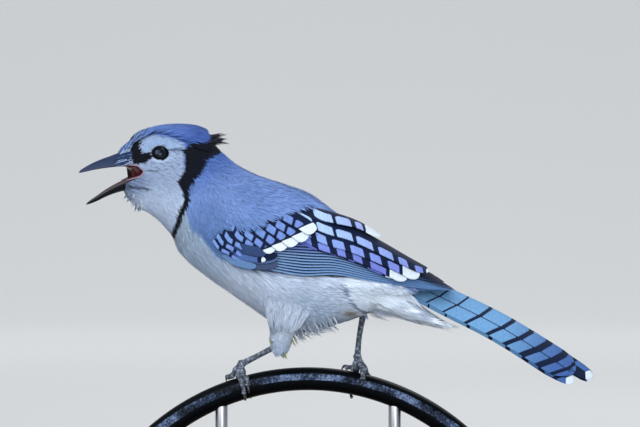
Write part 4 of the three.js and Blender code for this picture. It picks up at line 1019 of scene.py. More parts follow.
# A row holds, for one greater covert: middle of its first blue cell, tip, outer web, white tip.
COVERTS = (
    ((-16.0, 73.0), (-1.9, 66.4), 5.0, 4.8), ((-19.4, 69.6), (-5.8, 62.6), 4.6, 4.4),
    ((-24.2, 68.4), (-10.7, 60.1), 4.6, 4.2), ((-28.8, 66.4), (-16.0, 58.0), 4.4, 3.8),
    ((-34.0, 64.4), (-21.8, 56.5), 3.8, 2.6), ((-38.5, 63.3), (-26.2, 56.3), 3.4, 0.0),
    ((-43.0, 61.6), (-31.0, 55.8), 3.2, 0.0), ((-46.6, 60.1), (-35.4, 54.8), 3.0, 0.0),
    ((-48.6, 57.6), (-37.6, 52.6), 2.6, 0.0),
)
# The fixed few that close the wing's lower front: bastard wing and primary coverts. A row holds:
# shaft, lifts, outer and inner web, light web, white tip, tone.
FRONT_COVERTS = (
    (  # primary covert 1
        [(-40.0, 51.6), (-30.0, 49.8), (-20.4, 50.2)], (1.0, 2.2), 2.6, 3.4, 9.0, 0.0, (62, 78, 110),
    ),
    (  # primary covert 2
        [(-40.0, 54.4), (-30.0, 52.8), (-20.0, 53.6)], (1.2, 2.7), 2.6, 3.4, 1.3, 0.0, (76, 98, 140),
    ),
    (  # edge covert
        [(-47.0, 54.4), (-39.5, 51.0), (-30.6, 49.0)], (0.2, 2.4), 2.3, 2.2, 9.0, 0.0, (96, 130, 176),
    ),
    (  # alula low
        [(-43.0, 56.0), (-35.5, 53.6), (-26.0, 52.2)], (1.6, 3.0), 1.9, 2.0, 9.0, 2.2, (74, 102, 160),
    ),
    (  # alula high
        [(-41.0, 59.0), (-34.5, 57.2), (-25.8, 55.4)], (2.0, 3.5), 2.7, 2.2, 9.0, 0.0, (46, 66, 108),
    ),
)
NO_WHITE = -9.0


def on_form(rows, x, z, lift):
    """Ways and turns on the left of a form where its raised surface is seen at those places."""
    all_ways, all_turns = np.linspace(0.2, len(rows) - 1, 120), np.linspace(0.1, 2.8, 60)
    ways, turns = np.meshgrid(all_ways, all_turns, indexing="ij")
    seen = form(rows, ways, turns, 3.0)[0]
    gap = (seen[..., 0].ravel()[None] - x[:, None]) ** 2 + (seen[..., 2].ravel()[None] - z[:, None]) ** 2
    nearest = gap.argmin(1)
    way, turn = ways.ravel()[nearest], turns.ravel()[nearest]
    for _ in range(12):
        point, _, by_way, by_turn = slopes(rows, way, turn, lift)
        off_x, off_z = x - point[:, 0], z - point[:, 2]
        whole = by_way[:, 0] * by_turn[:, 2] - by_way[:, 2] * by_turn[:, 0]
        whole = np.where(np.abs(whole) < 8, np.sign(whole + 1e-9) * 8, whole)
        way = way + np.clip((off_x * by_turn[:, 2] - off_z * by_turn[:, 0]) / whole, -0.5, 0.5)
        turn = turn + np.clip((off_z * by_way[:, 0] - off_x * by_way[:, 2]) / whole, -0.2, 0.2)
        turn = np.clip(turn, 0.12, 2.8)
    return way, turn


def smooth_line(corners, count):
    """Points spread along a smooth curve through the corners, its length, and their places along it."""
    table = np.asarray(corners, float)
    fine = curve(table, np.linspace(0, len(table) - 1, 40 * len(table)))
    length = np.concatenate([[0], np.cumsum(np.linalg.norm(np.diff(fine, axis=0), axis=1))])
    along = length[-1] * (1 - (1 - np.linspace(0, 1, count)) ** 1.25)
    points = np.stack([np.interp(along, length, axis) for axis in fine.T], -1)
    return points, length[-1], along


def wing_shaft(corners, lifts, rise=(0.0, 0.55)):
    """A feather's shaft over the folded wing: its points, the directions out of it, the places along."""
    straight = sum(math.dist(a, b) for a, b in zip(corners[:-1], corners[1:]))
    line, length, along = smooth_line(corners, max(12, int(straight / VANE_STEP)))
    lift = lifts[0] + (lifts[1] - lifts[0]) * smooth_step(along / length, *rise)
    way, turn = on_form(FOLDED, line[:, 0], line[:, 1], lift)
    point, outward = form(FOLDED, way, turn, lift)
    for _ in range(4):
        outward[1:-1] = (outward[:-2] + outward[1:-1] + outward[2:]) / 3
    return point, unit(outward), along


def vane(point, outward, along, outer, inner, taper, droop=0.0, tilt=0.0, camber=0.02, root=0.4,
         thick=VANE_THICK, columns=VANE_COLUMNS):
    """One flight feather round its shaft: a thin closed blade, its rings of points, the distance of
    each from the outer edge, from the tip and from the shaft, and which are on the underside."""
    ahead = unit(np.gradient(point, axis=0))
    side = unit(np.cross(outward, ahead))
    from_tip = along[-1] - along
    swell = root + (1 - root) * smooth_step(along / along[-1], 0, 0.3)
    end = np.sqrt(np.clip(1 - (np.clip(taper - from_tip, 0, None) / taper) ** 2, 0.0004, 1))
    over = 0.45 * np.sin(np.linspace(-0.5 * math.pi, 0.5 * math.pi, columns))
    over = over + np.linspace(-0.55, 0.55, columns)
    under = over[-2:0:-1]
    across = np.concatenate([over, under])
    below = np.concatenate([np.zeros(columns), 1 - np.abs(under) ** 4])
    half = np.where(across < 0, outer, inner)[None, :] * (swell * end)[:, None]
    offset = half * across[None, :]
    sink = camber * offset**2 + droop * np.clip(offset, 0, None) ** 2 + tilt * offset
    sink = sink + thick * below[None, :] * np.minimum(1, 0.2 + end)[:, None]
    points = point[:, None] + side[:, None] * offset[..., None] - outward[:, None] * sink[..., None]
    edge = outer * (swell * end)[:, None] + offset
    from_tip = np.broadcast_to(from_tip[:, None], edge.shape)
    return points, edge, from_tip, offset, np.broadcast_to(below, edge.shape) > 0


def end_faces(rows, columns):
    """Triangles that close the first and the last ring of a tube of points."""
    step = np.arange(1, columns - 1)
    last = np.full(len(step), (rows - 1) * columns)
    return [np.stack([0 * step, step + 1, step], -1), np.stack([last, last + step, last + step + 1], -1)]


def vane_piece(name, feathers, material, replaces=(), mirror=False):
    """Joins feathers to one piece. Each is (points, dark, white, tone, offset, from_tip, under)."""
    places, faces, dark, white, tones, barbs, bake = [], [], [], [], [], [], []
    first = 0
    for i, (points, is_dark, is_white, tone, offset, from_tip, under) in enumerate(feathers):
        rows, columns = points.shape[:2]
        shell = [grid_faces(rows, columns, True)] + end_faces(rows, columns)
        if mirror:
            points = points * np.array([1, -1, 1])
            shell = [part[:, ::-1] for part in shell]
        faces += [first + part for part in shell]
        first += rows * columns
        places.append(points.reshape(-1, 3))
        dark.append(is_dark.ravel())
        white.append(is_white.ravel())
        grey = tone.mean(-1, keepdims=True) * 0.55 + 0.02
        tones.append(np.where(under[..., None], grey, tone).reshape(-1, 3))
        barbs.append(np.stack([offset, from_tip], -1).reshape(-1, 2))
        ring = np.broadcast_to(np.linspace(0, 0.96, columns)[None, :], offset.shape)
        chart = [(i + 0.02 + ring) / len(feathers), 0.01 + 0.98 * from_tip / from_tip.max()]
        bake.append(np.stack(chart, -1).reshape(-1, 2))
    piece = mesh_piece(name, placed(np.concatenate(places)), faces)
    paint(piece, np.clip(np.concatenate(tones), 0, 1))
    for label, values in (("dark", dark), ("white", white)):
        layer = piece.data.attributes.new(label, "FLOAT", "POINT")
        layer.data.foreach_set("value", np.concatenate(values).astype(np.float32))
    for label, values in (("OFBake", bake), ("barbs", barbs)):
        add_map(piece, label, np.concatenate(values), faces)
    return finish_piece(piece, material, replaces)


def barred(edge, from_tip, offset, along, light, bars, white, band=1.0, slant=0.25, skew=0.0):
    """How deep each point lies in the dark and in the white of a barred feather, in millimetres."""
    dark = edge - light
    for place, half in bars:
        dark = np.maximum(dark, half - np.abs(along - place + slant * offset))
    if white <= 0:
        return dark, np.full(edge.shape, NO_WHITE)
    tip = white - from_tip - 0.3 * np.abs(offset) if skew == 0 else white - from_tip - skew * offset
    return np.maximum(dark, band - np.abs(tip + band)), tip


vane_material, vane_shader = new_material(
    "flight_feathers", 0.62, Specular_IOR_Level=0.1, Sheen_Weight=0.03
)
vane_colour = painted(vane_material)
for label, colour in (("dark", NAVY), ("white", TIP_WHITE)):
    field = node(vane_material, "ShaderNodeAttribute")
    field.attribute_name = label
    depth = field.outputs["Fac"]
    mask = node(vane_material, "ShaderNodeMapRange", Value=depth, From_Min=-BAR_SOFT, From_Max=BAR_SOFT)
    vane_colour = mixed(vane_material, mask.outputs[0], vane_colour, linear(colour))
barb_map = node(vane_material, "ShaderNodeUVMap")
barb_map.uv_map = "barbs"
barb_split = node(vane_material, "ShaderNodeSeparateXYZ", Vector=barb_map.outputs[0])
barb_aside = reckon(vane_material, "ABSOLUTE", barb_split.outputs["X"])
barb_slant = reckon(vane_material, "MULTIPLY", barb_aside, 1.1)
barb_along = reckon(vane_material, "ADD", barb_slant, barb_split.outputs["Y"])
barb_turn = reckon(vane_material, "MULTIPLY", barb_along, 16.0)
barb_wave = reckon(vane_material, "SINE", barb_turn)
barb_streak = node(vane_material, "ShaderNodeMapping", Vector=barb_map.outputs[0], Scale=(0.35, 2.4, 1.0))
barb_noise = node(vane_material, "ShaderNodeTexNoise", Vector=barb_streak.outputs[0], Scale=1.0, Detail=3.0)
barb_shade = node(
    vane_material, "ShaderNodeMapRange", Value=barb_noise.outputs["Fac"], From_Min=0.3, From_Max=0.7,
    To_Min=0.8, To_Max=1.12,
)
barb_tone = node(vane_material, "ShaderNodeVectorMath", _0=vane_colour)
barb_tone.operation = "SCALE"
wire(vane_material, barb_shade.outputs[0], barb_tone.inputs["Scale"])
wire(vane_material, barb_tone.outputs[0], vane_shader.inputs["Base Color"])
relief(vane_material, vane_shader, barb_wave, 0.25, 0.08 * MM)


def tone_along(root, tip, from_tip):
    """A feather's colour from its root to its tip."""
    return blend(tint(root), tint(tip), 1 - from_tip / from_tip.max())


def wing_feathers():
    """The feathers of the left wing, as vane_piece takes them."""
    feathers = []
    for corners, lifts, outer, inner, droop, taper, light, bars, white, root_tone, tip_tone in REMIGES:
        shaft = wing_shaft(corners, lifts)
        points, edge, from_tip, offset, under = vane(*shaft, outer, inner, taper, droop)
        dark, is_white = barred(edge, from_tip, offset, points[..., 0], light, bars, white)
        tone = tone_along(root_tone, tip_tone, from_tip)
        feathers.append((points, dark, is_white, tone, offset, from_tip, under))
    for i, end in enumerate(PRIMARY_ENDS):
        share = i / (len(PRIMARY_ENDS) - 1)
        low, high = np.array(PRIMARY_LOW), np.array(PRIMARY_HIGH)
        line = [*(low + (high - low) * share + (0, 0.9)), end]
        lift = 0.5 + 0.13 * i
        shaft = wing_shaft(line, (lift, lift + 0.3))
        points, edge, from_tip, offset, under = vane(*shaft, *PRIMARY_WEBS, 12.0)
        dull = (1 - smooth_step(from_tip, 4, 20)) * smooth_step(share, 0.15, 0.55)
        tone = tone_along(*PRIMARY_TONES, from_tip)
        tone = blend(tone, tint(PRIMARY_INNER), smooth_step(share, 0.5, 0.9))
        tone = blend(tone, tint(PRIMARY_SHADE), 0.85 * smooth_step(edge, 0.15, 0.85))
        tone = blend(tone, tint(PRIMARY_END), dull)
        dark = edge - 0.86 + 0.5 * dull + 0.2 * share
        is_white = np.full(edge.shape, NO_WHITE)
        feathers.append((points, dark, is_white, tone, offset, from_tip, under))
    for shaft, lifts, outer, inner, light, white, tone in FRONT_COVERTS:
        points, edge, from_tip, offset, under = vane(*wing_shaft(shaft, lifts), outer, inner, 5.0)
        dark, is_white = barred(edge, from_tip, offset, from_tip, light, [], white)
        tones = tone_along(tone, tone, from_tip)
        feathers.append((points, dark, is_white, tones, offset, from_tip, under))
    for i, (cell, tip, outer, white) in enumerate(COVERTS):
        cell, tip = np.array(cell) + (0.9, 1.6), np.array(tip)
        line = [cell - 0.4 * (tip - cell), cell, cell * 0.5 + tip * 0.5 + (0.2, 0.4), tip]
        shaft = wing_shaft(line, (3.4 - 0.35 * i, 4.9 - 0.35 * i), (-0.2, 1.2))
        points, edge, from_tip, offset, under = vane(*shaft, outer, 2.6, 3.0, tilt=0.09, camber=0.0)
        dark, is_white = barred(
            edge, from_tip, offset, from_tip, outer - 0.9, COVERT_BARS, white, 0.5, -0.25, 0.5
        )
        tone = tone_along(*COVERT_TONES, from_tip)
        feathers.append((points, dark, is_white, tone, offset, from_tip, under))
    return feathers


folded_wing = wing_feathers()
vane_piece("wing_feathers_left", folded_wing, vane_material, ["wing_left"])
vane_piece("wing_feathers_right", folded_wing, vane_material, ["wing_right"], mirror=True)

# The tail: twelve long feathers, closed. The middle pair lies on top, blue with a dark shaft and
# slanting bars; the others show their edges and white ends. They are rooted above the undertail.
TAIL_LINE = [(40.0, 43.4), (65.6, 31.2), (88.0, 19.9), (112.0, 5.0), (131.0, -8.0)]
TAIL_ROLL = (math.radians(36), math.radians(46))
TAIL_ARCH = 0.006
TAIL_STEP = 0.3
TAIL_THICK = 0.22
TAIL_ROOT = 1.2  # how far along the line the feathers begin
TAIL_MIDDLE_WEBS = (9.0, 9.0)
TAIL_WEBS = (4.2, 6.4)  # the narrow web is the outer one, on both sides
TAIL_REACH = {1: (93.5, 97.5, 96.5, 95.0, 93.0, 90.5), -1: (95.5, 104.0, 105.6, 104.0, 102.0, 99.0)}
TAIL_BARS = [
    (40.0, 0.3), (49.5, 0.35), (58.2, 0.45), (66.9, 0.5), (77.8, 0.85), (88.6, 1.0), (97.2, 1.15),
    (105.7, 1.6), (113.6, 1.6), (120.0, 0.9),
]
TAIL_BLUE = (110, 160, 206)
TAIL_END_BLUE = (66, 101, 162)


def tail_shaft(reach, aside, lift, step):
    """One tail feather's shaft: points, directions out of it, places along."""
    fine, length, _ = smooth_line(TAIL_LINE, 400)
    places = np.concatenate([[0], np.cumsum(np.linalg.norm(np.diff(fine, axis=0), axis=1))])
    along = TAIL_ROOT + (reach - TAIL_ROOT) * (1 - (1 - np.linspace(0, 1, int(reach / step))) ** 1.1)
    x, z = (np.interp(along, places, fine[:, k]) for k in (0, 1))
    ahead = unit(np.stack([np.gradient(x), np.zeros(len(x)), np.gradient(z)], -1))
    up = np.stack([-ahead[:, 2], np.zeros(len(x)), ahead[:, 0]], -1)
    roll = (TAIL_ROLL[0] + (TAIL_ROLL[1] - TAIL_ROLL[0]) * along / length)[:, None]
    across = np.array([0.0, 1.0, 0.0])
    left = -np.cos(roll) * across - np.sin(roll) * up
    over = np.cos(roll) * up - np.sin(roll) * across
    middle = np.stack([x, np.zeros(len(x)), z], -1)
    point = middle + left * aside + over * (lift - TAIL_ARCH * aside**2)
    return point, over + left * 2 * TAIL_ARCH * aside, along - along[0]


tail = []
for side in (1, -1):
    for pair in range(6):
        middle = pair == 0
        level = (0 if side > 0 else 1) if middle else pair + 1
        aside = 0.9 * side if middle else side * (5.4 + 0.1 * pair)
        outer, inner = TAIL_MIDDLE_WEBS if middle else TAIL_WEBS[::side]
        step, columns = (0.35, 29) if middle else (VANE_STEP, VANE_COLUMNS)
        shaft = tail_shaft(TAIL_REACH[side][pair], aside, -TAIL_STEP * level, step)
        points, edge, from_tip, offset, under = vane(
            *shaft, outer, inner, 11.0 if middle else 8.0, camber=TAIL_ARCH, root=0.8, thick=TAIL_THICK,
            columns=columns,
        )
        x = points[:, columns // 2, 0][:, None] + 0 * edge
        over = offset - aside
        dark = 0.3 - np.abs(offset)
        for place, half in TAIL_BARS:
            dark = np.maximum(dark, half - np.abs(x - place - np.where(over < 0, 0.5, 0.32) * over))
        if middle:
            is_white = np.full(edge.shape, NO_WHITE)
        else:
            dark = np.maximum(dark, offset * side - 0.6)
            is_white = 3.4 + 0.8 * pair - from_tip - 0.5 * np.abs(offset)
        tone = blend(tint(TAIL_BLUE), tint(TAIL_END_BLUE), 1 - smooth_step(from_tip, 4, 44))
        tail.append((points, dark, is_white, tone, offset, from_tip, under))
vane_piece("tail_feathers", tail, vane_material, ["tail"])

# The crest: the long crown feathers, laid back flat, with black tufts that stand out behind it,
# the pale blue bristles that lie forward over the root of the bill, and the loose wisps of the chin.
CREST_LIFT = (
    (-98.0, 0.2), (-92.0, 1.4), (-85.0, 2.2), (-76.0, 2.5), (-68.0, 2.7), (-61.0, 3.6), (-56.0, 4.8),
)
CREST_END = -56.4
NAPE_TIPS = (
    (-46.2, -2.6, 113.4), (-45.4, -4.4, 109.0), (-46.8, 3.4, 111.4), (-47.6, -0.4, 112.2),
    (-47.0, -5.4, 110.4), (-48.4, -1.6, 108.6), (-49.0, 4.4, 109.0), (-48.6, -6.6, 108.2),
)
NAPE_LOCKS = 3 * len(NAPE_TIPS)
BRISTLES = 360
BILL_START, BRISTLED = -92.6, 8.4  # where the bill starts, and how far the bristles reach along it
# A row holds a measure of the bill at both ends of that stretch: its ridge, its edge, its half width.
BILL_ROOT = ((104.8, 102.3), (97.3, 96.8), (5.1, 3.9))
BRISTLE_TONES = ((34, 52, 92), (176, 200, 230))
CHIN_WISPS = 24
CHIN_TONE = (206, 218, 236)


def crown_only(point, turn):
    """Where the crest grows: on the crown, above the head's pale side and before the collar."""
    x, z = side_view(point)
    crown = (above(x, z, CROWN_LINE) > 0.6) & (z > 100) & (x > -90.5) & (x < -58)
    return crown & (inside(x, z, SEEN["collar"]) < 0.4)


crest_way, crest_turn = scatter(
    BODY, 30000, 71, lambda p: 1.0 + 0 * p[:, 0], crown_only, (0.3, 6.8), (-1.2, 1.2)
)
crest_root = form(BODY, crest_way, crest_turn)[0]
crest_direction, crest_length, crest_width = lie(*side_view(crest_root))
crest_length = np.minimum(crest_length * 1.7, np.clip(CREST_END - crest_root[:, 0], 2.5, None))
crest_heights = np.array(CREST_LIFT)
crest_tips = np.interp(crest_root[:, 0] + crest_length, crest_heights[:, 0], crest_heights[:, 1])
crest_tips = crest_tips * np.cos(crest_turn) ** 0.7
crest_roots = 0.3 * np.interp(crest_root[:, 0], crest_heights[:, 0], crest_heights[:, 1]) - 0.4
crest = tufts(
    BODY, crest_way, crest_turn, 72, 9, crest_length, crest_width, crest_direction, crest_roots, crest_tips
)

draw = np.random.default_rng(73)
nape_tips = np.repeat(np.array(NAPE_TIPS), 3, 0) + draw.normal(0, (0.8, 0.7, 0.5), (NAPE_LOCKS, 3))
nape_way = draw.uniform(6.3, 6.9, NAPE_LOCKS)
nape_turn = np.arctan2(-nape_tips[:, 1], 12.0) + draw.uniform(-0.1, 0.1, NAPE_LOCKS)
nape = locks(BODY, nape_way, nape_turn, 0.5, nape_tips, 74, 7, 3.0, 0.8, tint(PLUMAGE["collar"]), 0.5)

bristle_height = draw.uniform(0.03, 0.66, BRISTLES)
bristle_x = draw.uniform(-100.6, -95.4, BRISTLES)
bill_share = (BILL_START - bristle_x) / BRISTLED
bill_ridge, bill_edge, bill_half = (a + (b - a) * bill_share for a, b in BILL_ROOT)
bristle_side = np.where(np.arange(BRISTLES) % 2 == 0, -1.0, 1.0)
bristle_y = bristle_side * (bill_half * np.sqrt(1 - bristle_height**2) + 0.5)
bristle_z = bill_edge + (bill_ridge - bill_edge) * bristle_height + 0.4 * bristle_height
bristle_tips = np.stack([bristle_x, bristle_y, bristle_z], -1)
root_x = -94.6 + 1.6 * bristle_height + draw.uniform(-1.4, 1.6, BRISTLES)
root_z = 98.6 + 9.4 * bristle_height**1.2
bristle_way, bristle_turn = on_form(BODY, root_x, root_z, 0.0)
bristle_turn = -bristle_side * bristle_turn
bristle_pale = smooth_step(draw.uniform(0, 1, BRISTLES) - 0.1 * (-95 - bristle_x), 0.1, 0.6)
bristle_tone = blend(*(tint(tone) for tone in BRISTLE_TONES), bristle_pale)
bristles = locks(BODY, bristle_way, bristle_turn, 0.0, bristle_tips, 75, 3, 0.8, 0.6, bristle_tone, 0.3)

chin_share = draw.uniform(0, 1, CHIN_WISPS)
chin_side = draw.uniform(-1, 1, CHIN_WISPS)
chin_way, chin_turn = 0.8 + 1.4 * chin_share, math.pi + 0.8 * chin_side
chin_root = form(BODY, chin_way, chin_turn)[0]
chin_front, chin_back = np.array([[-2.6, 0, -2.2]]), np.array([[0.6, 0, -3.4]])
chin_reach = chin_front * (1 - chin_share[:, None]) + chin_back * chin_share[:, None]
chin_reach = chin_reach * draw.uniform(0.4, 0.9, (CHIN_WISPS, 1))
chin_tips = chin_root + chin_reach + draw.normal(0, 0.5, (CHIN_WISPS, 3))
chin = locks(BODY, chin_way, chin_turn, -0.4, chin_tips, 76, 3, 0.8, 0.2, tint(CHIN_TONE), 0.3)
coat_piece("crest_feathers", [crest, nape, bristles, chin], coat_material, ["crest"])

# The eyes: glass balls of a very dark brown, set in the sockets of the skin, each with a ring of
# bare dark lid round it.
EYE_PLACE = (-80.3, 103.8)
EYE_RADIUS = 4.2
EYE_PROUD = 1.2
EYE_RINGS, EYE_SIDES = 33, 64
LID_PROFILE = ((3.1, -0.5), (3.15, 0.2), (3.35, 0.46), (3.7, 0.32), (4.0, -0.3), (3.9, -1.4), (3.2, -1.4))

eye_black, eye_shine = linear((4, 5, 8)), linear((176, 204, 240))
eye_glass, _ = new_material(
    "dark_brown_eye", 0.12, Base_Color=eye_black, Specular_IOR_Level=0.5, Specular_Tint=eye_shine
)
lid_black = linear((5, 7, 10))
lid_skin, _ = new_material("bare_lid", 0.6, Base_Color=lid_black, Specular_IOR_Level=0.08)


def turned_round(point, outward, profile, sides, mirror, flat=1.0):
    """Rings of a profile (radius, height) round an outward direction, flattened from above."""
    ahead = np.cross(outward, [0.0, 1.0, 0.0])
    ahead /= np.linalg.norm(ahead)
    side = np.cross(outward, ahead) * flat
    around = np.linspace(0, 2 * math.pi, sides, endpoint=False)[None, :, None]
    radius, height = (np.array(profile)[:, k, None, None] for k in (0, 1))
    rings = point + outward * height + radius * (np.cos(around) * ahead + np.sin(around) * side)
    return rings * (np.array([1, -1, 1]) if mirror else 1)


def smooth_piece(name, points, faces, material, replaces=()):
    """A closed piece in the bird's own frame, its faces turned outwards."""
    piece = mesh_piece(name, placed(points), faces)
    face_outwards(piece, merge=True)
    return finish_piece(piece, material, replaces)


eye_way, eye_turn = on_form(BODY, np.array([EYE_PLACE[0]]), np.array([EYE_PLACE[1]]), 0.0)
eye_socket, eye_outward = (v[0] for v in form(BODY, eye_way, eye_turn))
ball_angles = np.linspace(0, math.pi, EYE_RINGS)
ball = [(EYE_RADIUS * math.sin(a), EYE_RADIUS * (math.cos(a) - 1) + EYE_PROUD) for a in ball_angles]
lid_profile = LID_PROFILE + LID_PROFILE[:1]
for side, mirror in (("left", False), ("right", True)):
    rings = turned_round(eye_socket, eye_outward, ball, EYE_SIDES, mirror)
    ball_faces = [grid_faces(EYE_RINGS, EYE_SIDES, True)]
    smooth_piece(f"eye_{side}", rings, ball_faces, eye_glass, [f"eye_{side}"])
    lid = turned_round(eye_socket, eye_outward, lid_profile, EYE_SIDES, mirror, EYE_FLAT)
    lid_faces = [grid_faces(len(lid), EYE_SIDES, True)]
    smooth_piece(f"lid_{side}", lid, lid_faces, lid_skin)

# The bill: two horny sheaths, the upper with a sharp ridge and a slight hook, the lower like a
# trough; their skin-lined insides meet in the open mouth.
# A row holds: along, the ridge or keel, the cutting edge, half width.
UPPER_BILL = (
    (-90.4, 105.6, 97.6, 5.2), (-92.6, 104.8, 97.3, 5.0), (-96.5, 104.0, 97.2, 4.5),
    (-101.0, 102.3, 96.8, 3.8), (-105.6, 100.6, 96.2, 3.0), (-109.8, 98.7, 95.4, 2.1),
    (-113.2, 96.8, 94.6, 1.2), (-115.4, 95.3, 94.1, 0.6), (-116.2, 94.5, 94.0, 0.25),
)
LOWER_BILL = (
    (-87.4, 87.2, 93.6, 5.2), (-90.2, 86.0, 92.2, 5.0), (-94.8, 85.4, 90.3, 4.5),
    (-99.4, 84.1, 88.0, 3.7), (-103.6, 82.4, 85.5, 2.8), (-107.0, 80.7, 83.2, 1.9),
    (-109.8, 79.5, 81.4, 1.1), (-111.8, 78.9, 79.9, 0.6), (-112.7, 78.7, 79.2, 0.25),
)
BILL_RINGS = 60
BILL_SIDES = 40
BILL_HOLLOW = 0.34
# The upper sheath's slate blue is dark horn with a painted bluish sheen of reflected sky; the pale grey
# line along the cutting edges is a painted highlight.
HORN_UPPER_WITH_SHEEN = (36, 50, 78)
HORN_LOWER = (11, 14, 20)
HORN_EDGE_HIGHLIGHT = (128, 128, 134)
HORN_TIP = (176, 176, 172)
MOUTH_PINK = (150, 124, 142)
MOUTH_DARK = (84, 16, 24)
HOLLOW_DARK = (26, 20, 28)

bill_material, bill_shader = new_material("bill_horn", 0.45, Specular_IOR_Level=0.15)
wire(bill_material, painted(bill_material), bill_shader.inputs["Base Color"])
relief(bill_material, bill_shader, grain(bill_material, (260, 1600, 1600), 3.0), 0.12, 0.1 * MM)
bill_sheaths = (("bill_upper", UPPER_BILL, HORN_UPPER_WITH_SHEEN, 0.15), ("bill_lower", LOWER_BILL, HORN_LOWER, 0.4))
for name, rows, horn, edge_highlight in bill_sheaths:
    way = np.linspace(0, len(rows) - 1, BILL_RINGS)
    x, ridge, edge, half = (through(rows, way)[:, k, None] for k in range(4))
    around = np.linspace(0, 2 * math.pi, BILL_SIDES, endpoint=False)[None, :]
    outside = np.cos(around) > 0
    pinched = np.sign(np.sin(around)) * np.abs(np.sin(around)) ** np.where(outside, 1.15, 1.0)
    hollow = BILL_HOLLOW * np.abs(np.cos(around)) ** 0.8 * np.clip((-92.0 - x) / -12, 0.2, 1)
    height = np.where(outside, np.cos(around), hollow)
    rings = np.stack([x + 0 * around, -half * pinched, edge + (ridge - edge) * height], -1)
    faces = [grid_faces(BILL_RINGS, BILL_SIDES, True)] + end_faces(BILL_RINGS, BILL_SIDES)
    piece = smooth_piece(name, rings, faces, bill_material, [name])
    share = np.broadcast_to(way[:, None] / (len(rows) - 1), height.shape)
    rim = np.broadcast_to(1 - smooth_step(np.abs(np.cos(around)), 0.0, 0.28), height.shape)
    within = np.broadcast_to(~outside & (np.abs(np.cos(around)) > 0.12), height.shape) * 1.0
    # A painted highlight along the cutting edges, stronger on the lower sheath.
    tone = blend(tint(horn), tint(HORN_EDGE_HIGHLIGHT), rim * edge_highlight)
    tone = blend(tone, tint(HORN_TIP), smooth_step(share, 0.88, 0.99) * 0.8)
    lining = blend(tint(MOUTH_DARK), tint(HOLLOW_DARK), smooth_step(share, 0.25, 0.7))
    paint(piece, blend(tone, lining, within))

# The mouth: a dark red lining across the throat, recessed between the cheeks, and the pale bare
# rim of the gape on each side.
LINING = (
    (-93.2, 97.3), (-90.9, 95.4), (-90.0, 93.9), (-90.4, 92.4), (-92.4, 90.4), (-88.0, 89.6), (-83.0, 91.0),
    (-82.0, 96.0), (-86.0, 98.4), (-90.0, 98.6),
)
LINING_HALF = 5.2
LINING_EASE = 0.9
RIM_PLACES = (
    (-95.4, 97.9), (-92.8, 97.8), (-90.4, 97.4), (-88.4, 95.9), (-88.0, 94.6), (-89.0, 92.8), (-91.2, 91.7),
    (-94.6, 90.6),
)
RIM_LIFT = -0.6
RIM_RADIUS = 0.3
SCUTE_STEP = 1.25
SCUTE_FRONT = np.array([-0.8, 0.0, 0.6])
SCALE_DARK = (16, 22, 33)
SCALE_LIGHT = (136, 150, 172)


def swept(corners, steps, sides, radius, scutes=0.0):
    """Rings of a tube along a smooth path, and how light they are; radius is a function of the share
    of its length, and scutes is their height on its front."""
    path, length, along = smooth_line(corners, steps)
    ahead = unit(np.gradient(path, axis=0))
    front = unit(SCUTE_FRONT - ahead * (ahead @ SCUTE_FRONT)[:, None])
    side = np.cross(ahead, front)
    around = np.linspace(0, 2 * math.pi, sides, endpoint=False)[None, :]
    saw = 1 - np.mod(along / SCUTE_STEP, 1.0)
    raised = scutes * saw[:, None] * np.clip(np.cos(around) + 0.35, 0, 1) ** 0.5
    thick = (radius(along / length)[:, None] + raised)[..., None]
    across = np.cos(around)[..., None] * front[:, None] + np.sin(around)[..., None] * side[:, None]
    worn = 0.45 + 0.55 * np.mod(np.sin(np.floor(along / SCUTE_STEP) * 78.2) * 43.7, 1.0)
    along = along[:, None]
    blotch = np.sin(2.1 * along + 2.2 * np.cos(around)) + np.sin(0.9 * along - 2.6 * around)
    light = (worn * smooth_step(saw, 0.08, 0.4))[:, None] * (0.25 + 0.75 * smooth_step(blotch, -0.7, 0.7))
    return path[:, None] + thick * across, light


def swept_piece(name, tubes, material, replaces):
    """Joins closed tubes to one piece, with a colour from light and dark along their scales."""
    points, faces, lights, first = [], [], [], 0
    for rings, light in tubes:
        rows, sides = rings.shape[:2]
        faces += [first + part for part in tube_faces(rows, sides)]
        points += [rings.reshape(-1, 3), np.stack([rings[0].mean(0), rings[-1].mean(0)])]
        lights += [np.broadcast_to(light, (rows, sides)).ravel(), np.array([0.5, 0.5])]
        first += rows * sides + 2
    piece = mesh_piece(name, placed(np.concatenate(points)), faces)
    paint(piece, blend(tint(SCALE_DARK), tint(SCALE_LIGHT), np.concatenate(lights)))
    face_outwards(piece)
    return finish_piece(piece, material, replaces)


mouth_skin, _ = new_material("mouth_lining", 0.35, coat=0.3, Base_Color=linear(MOUTH_DARK))
gape_skin, _ = new_material("gape_rim", 0.45, Base_Color=linear(MOUTH_PINK))
outline = np.array(LINING)
narrowed = outline.mean(0) + (outline - outline.mean(0)) * 0.75
inner_half = LINING_HALF - LINING_EASE
lining_rings = []
lining_sides = (
    (-LINING_HALF, narrowed), (-inner_half, outline), (inner_half, outline), (LINING_HALF, narrowed),
)
for y, ring in lining_sides:
    lining_rings.append(np.stack([ring[:, 0], np.full(len(ring), y), ring[:, 1]], -1))
cap = np.array([[0, k, k + 1] for k in range(1, len(LINING) - 1)])
lining_faces = [grid_faces(4, len(LINING), True), cap, cap[:, ::-1] + 3 * len(LINING)]
smooth_piece("mouth_lining", np.array(lining_rings), lining_faces, mouth_skin)
rim_way, rim_turn = on_form(BODY, *np.array(RIM_PLACES).T, RIM_LIFT)
rim_path = form(BODY, rim_way, rim_turn, RIM_LIFT)[0]


def rim_radius(share):
    """The gape's rim is thinner at its ends."""
    return RIM_RADIUS * np.sin(math.pi * (0.06 + 0.88 * share)) ** 0.5


rims = [swept(rim_path * np.array([1, side, 1]), 80, 12, rim_radius) for side in (1, -1)]
swept_piece("gape_rims", rims, gape_skin, [])

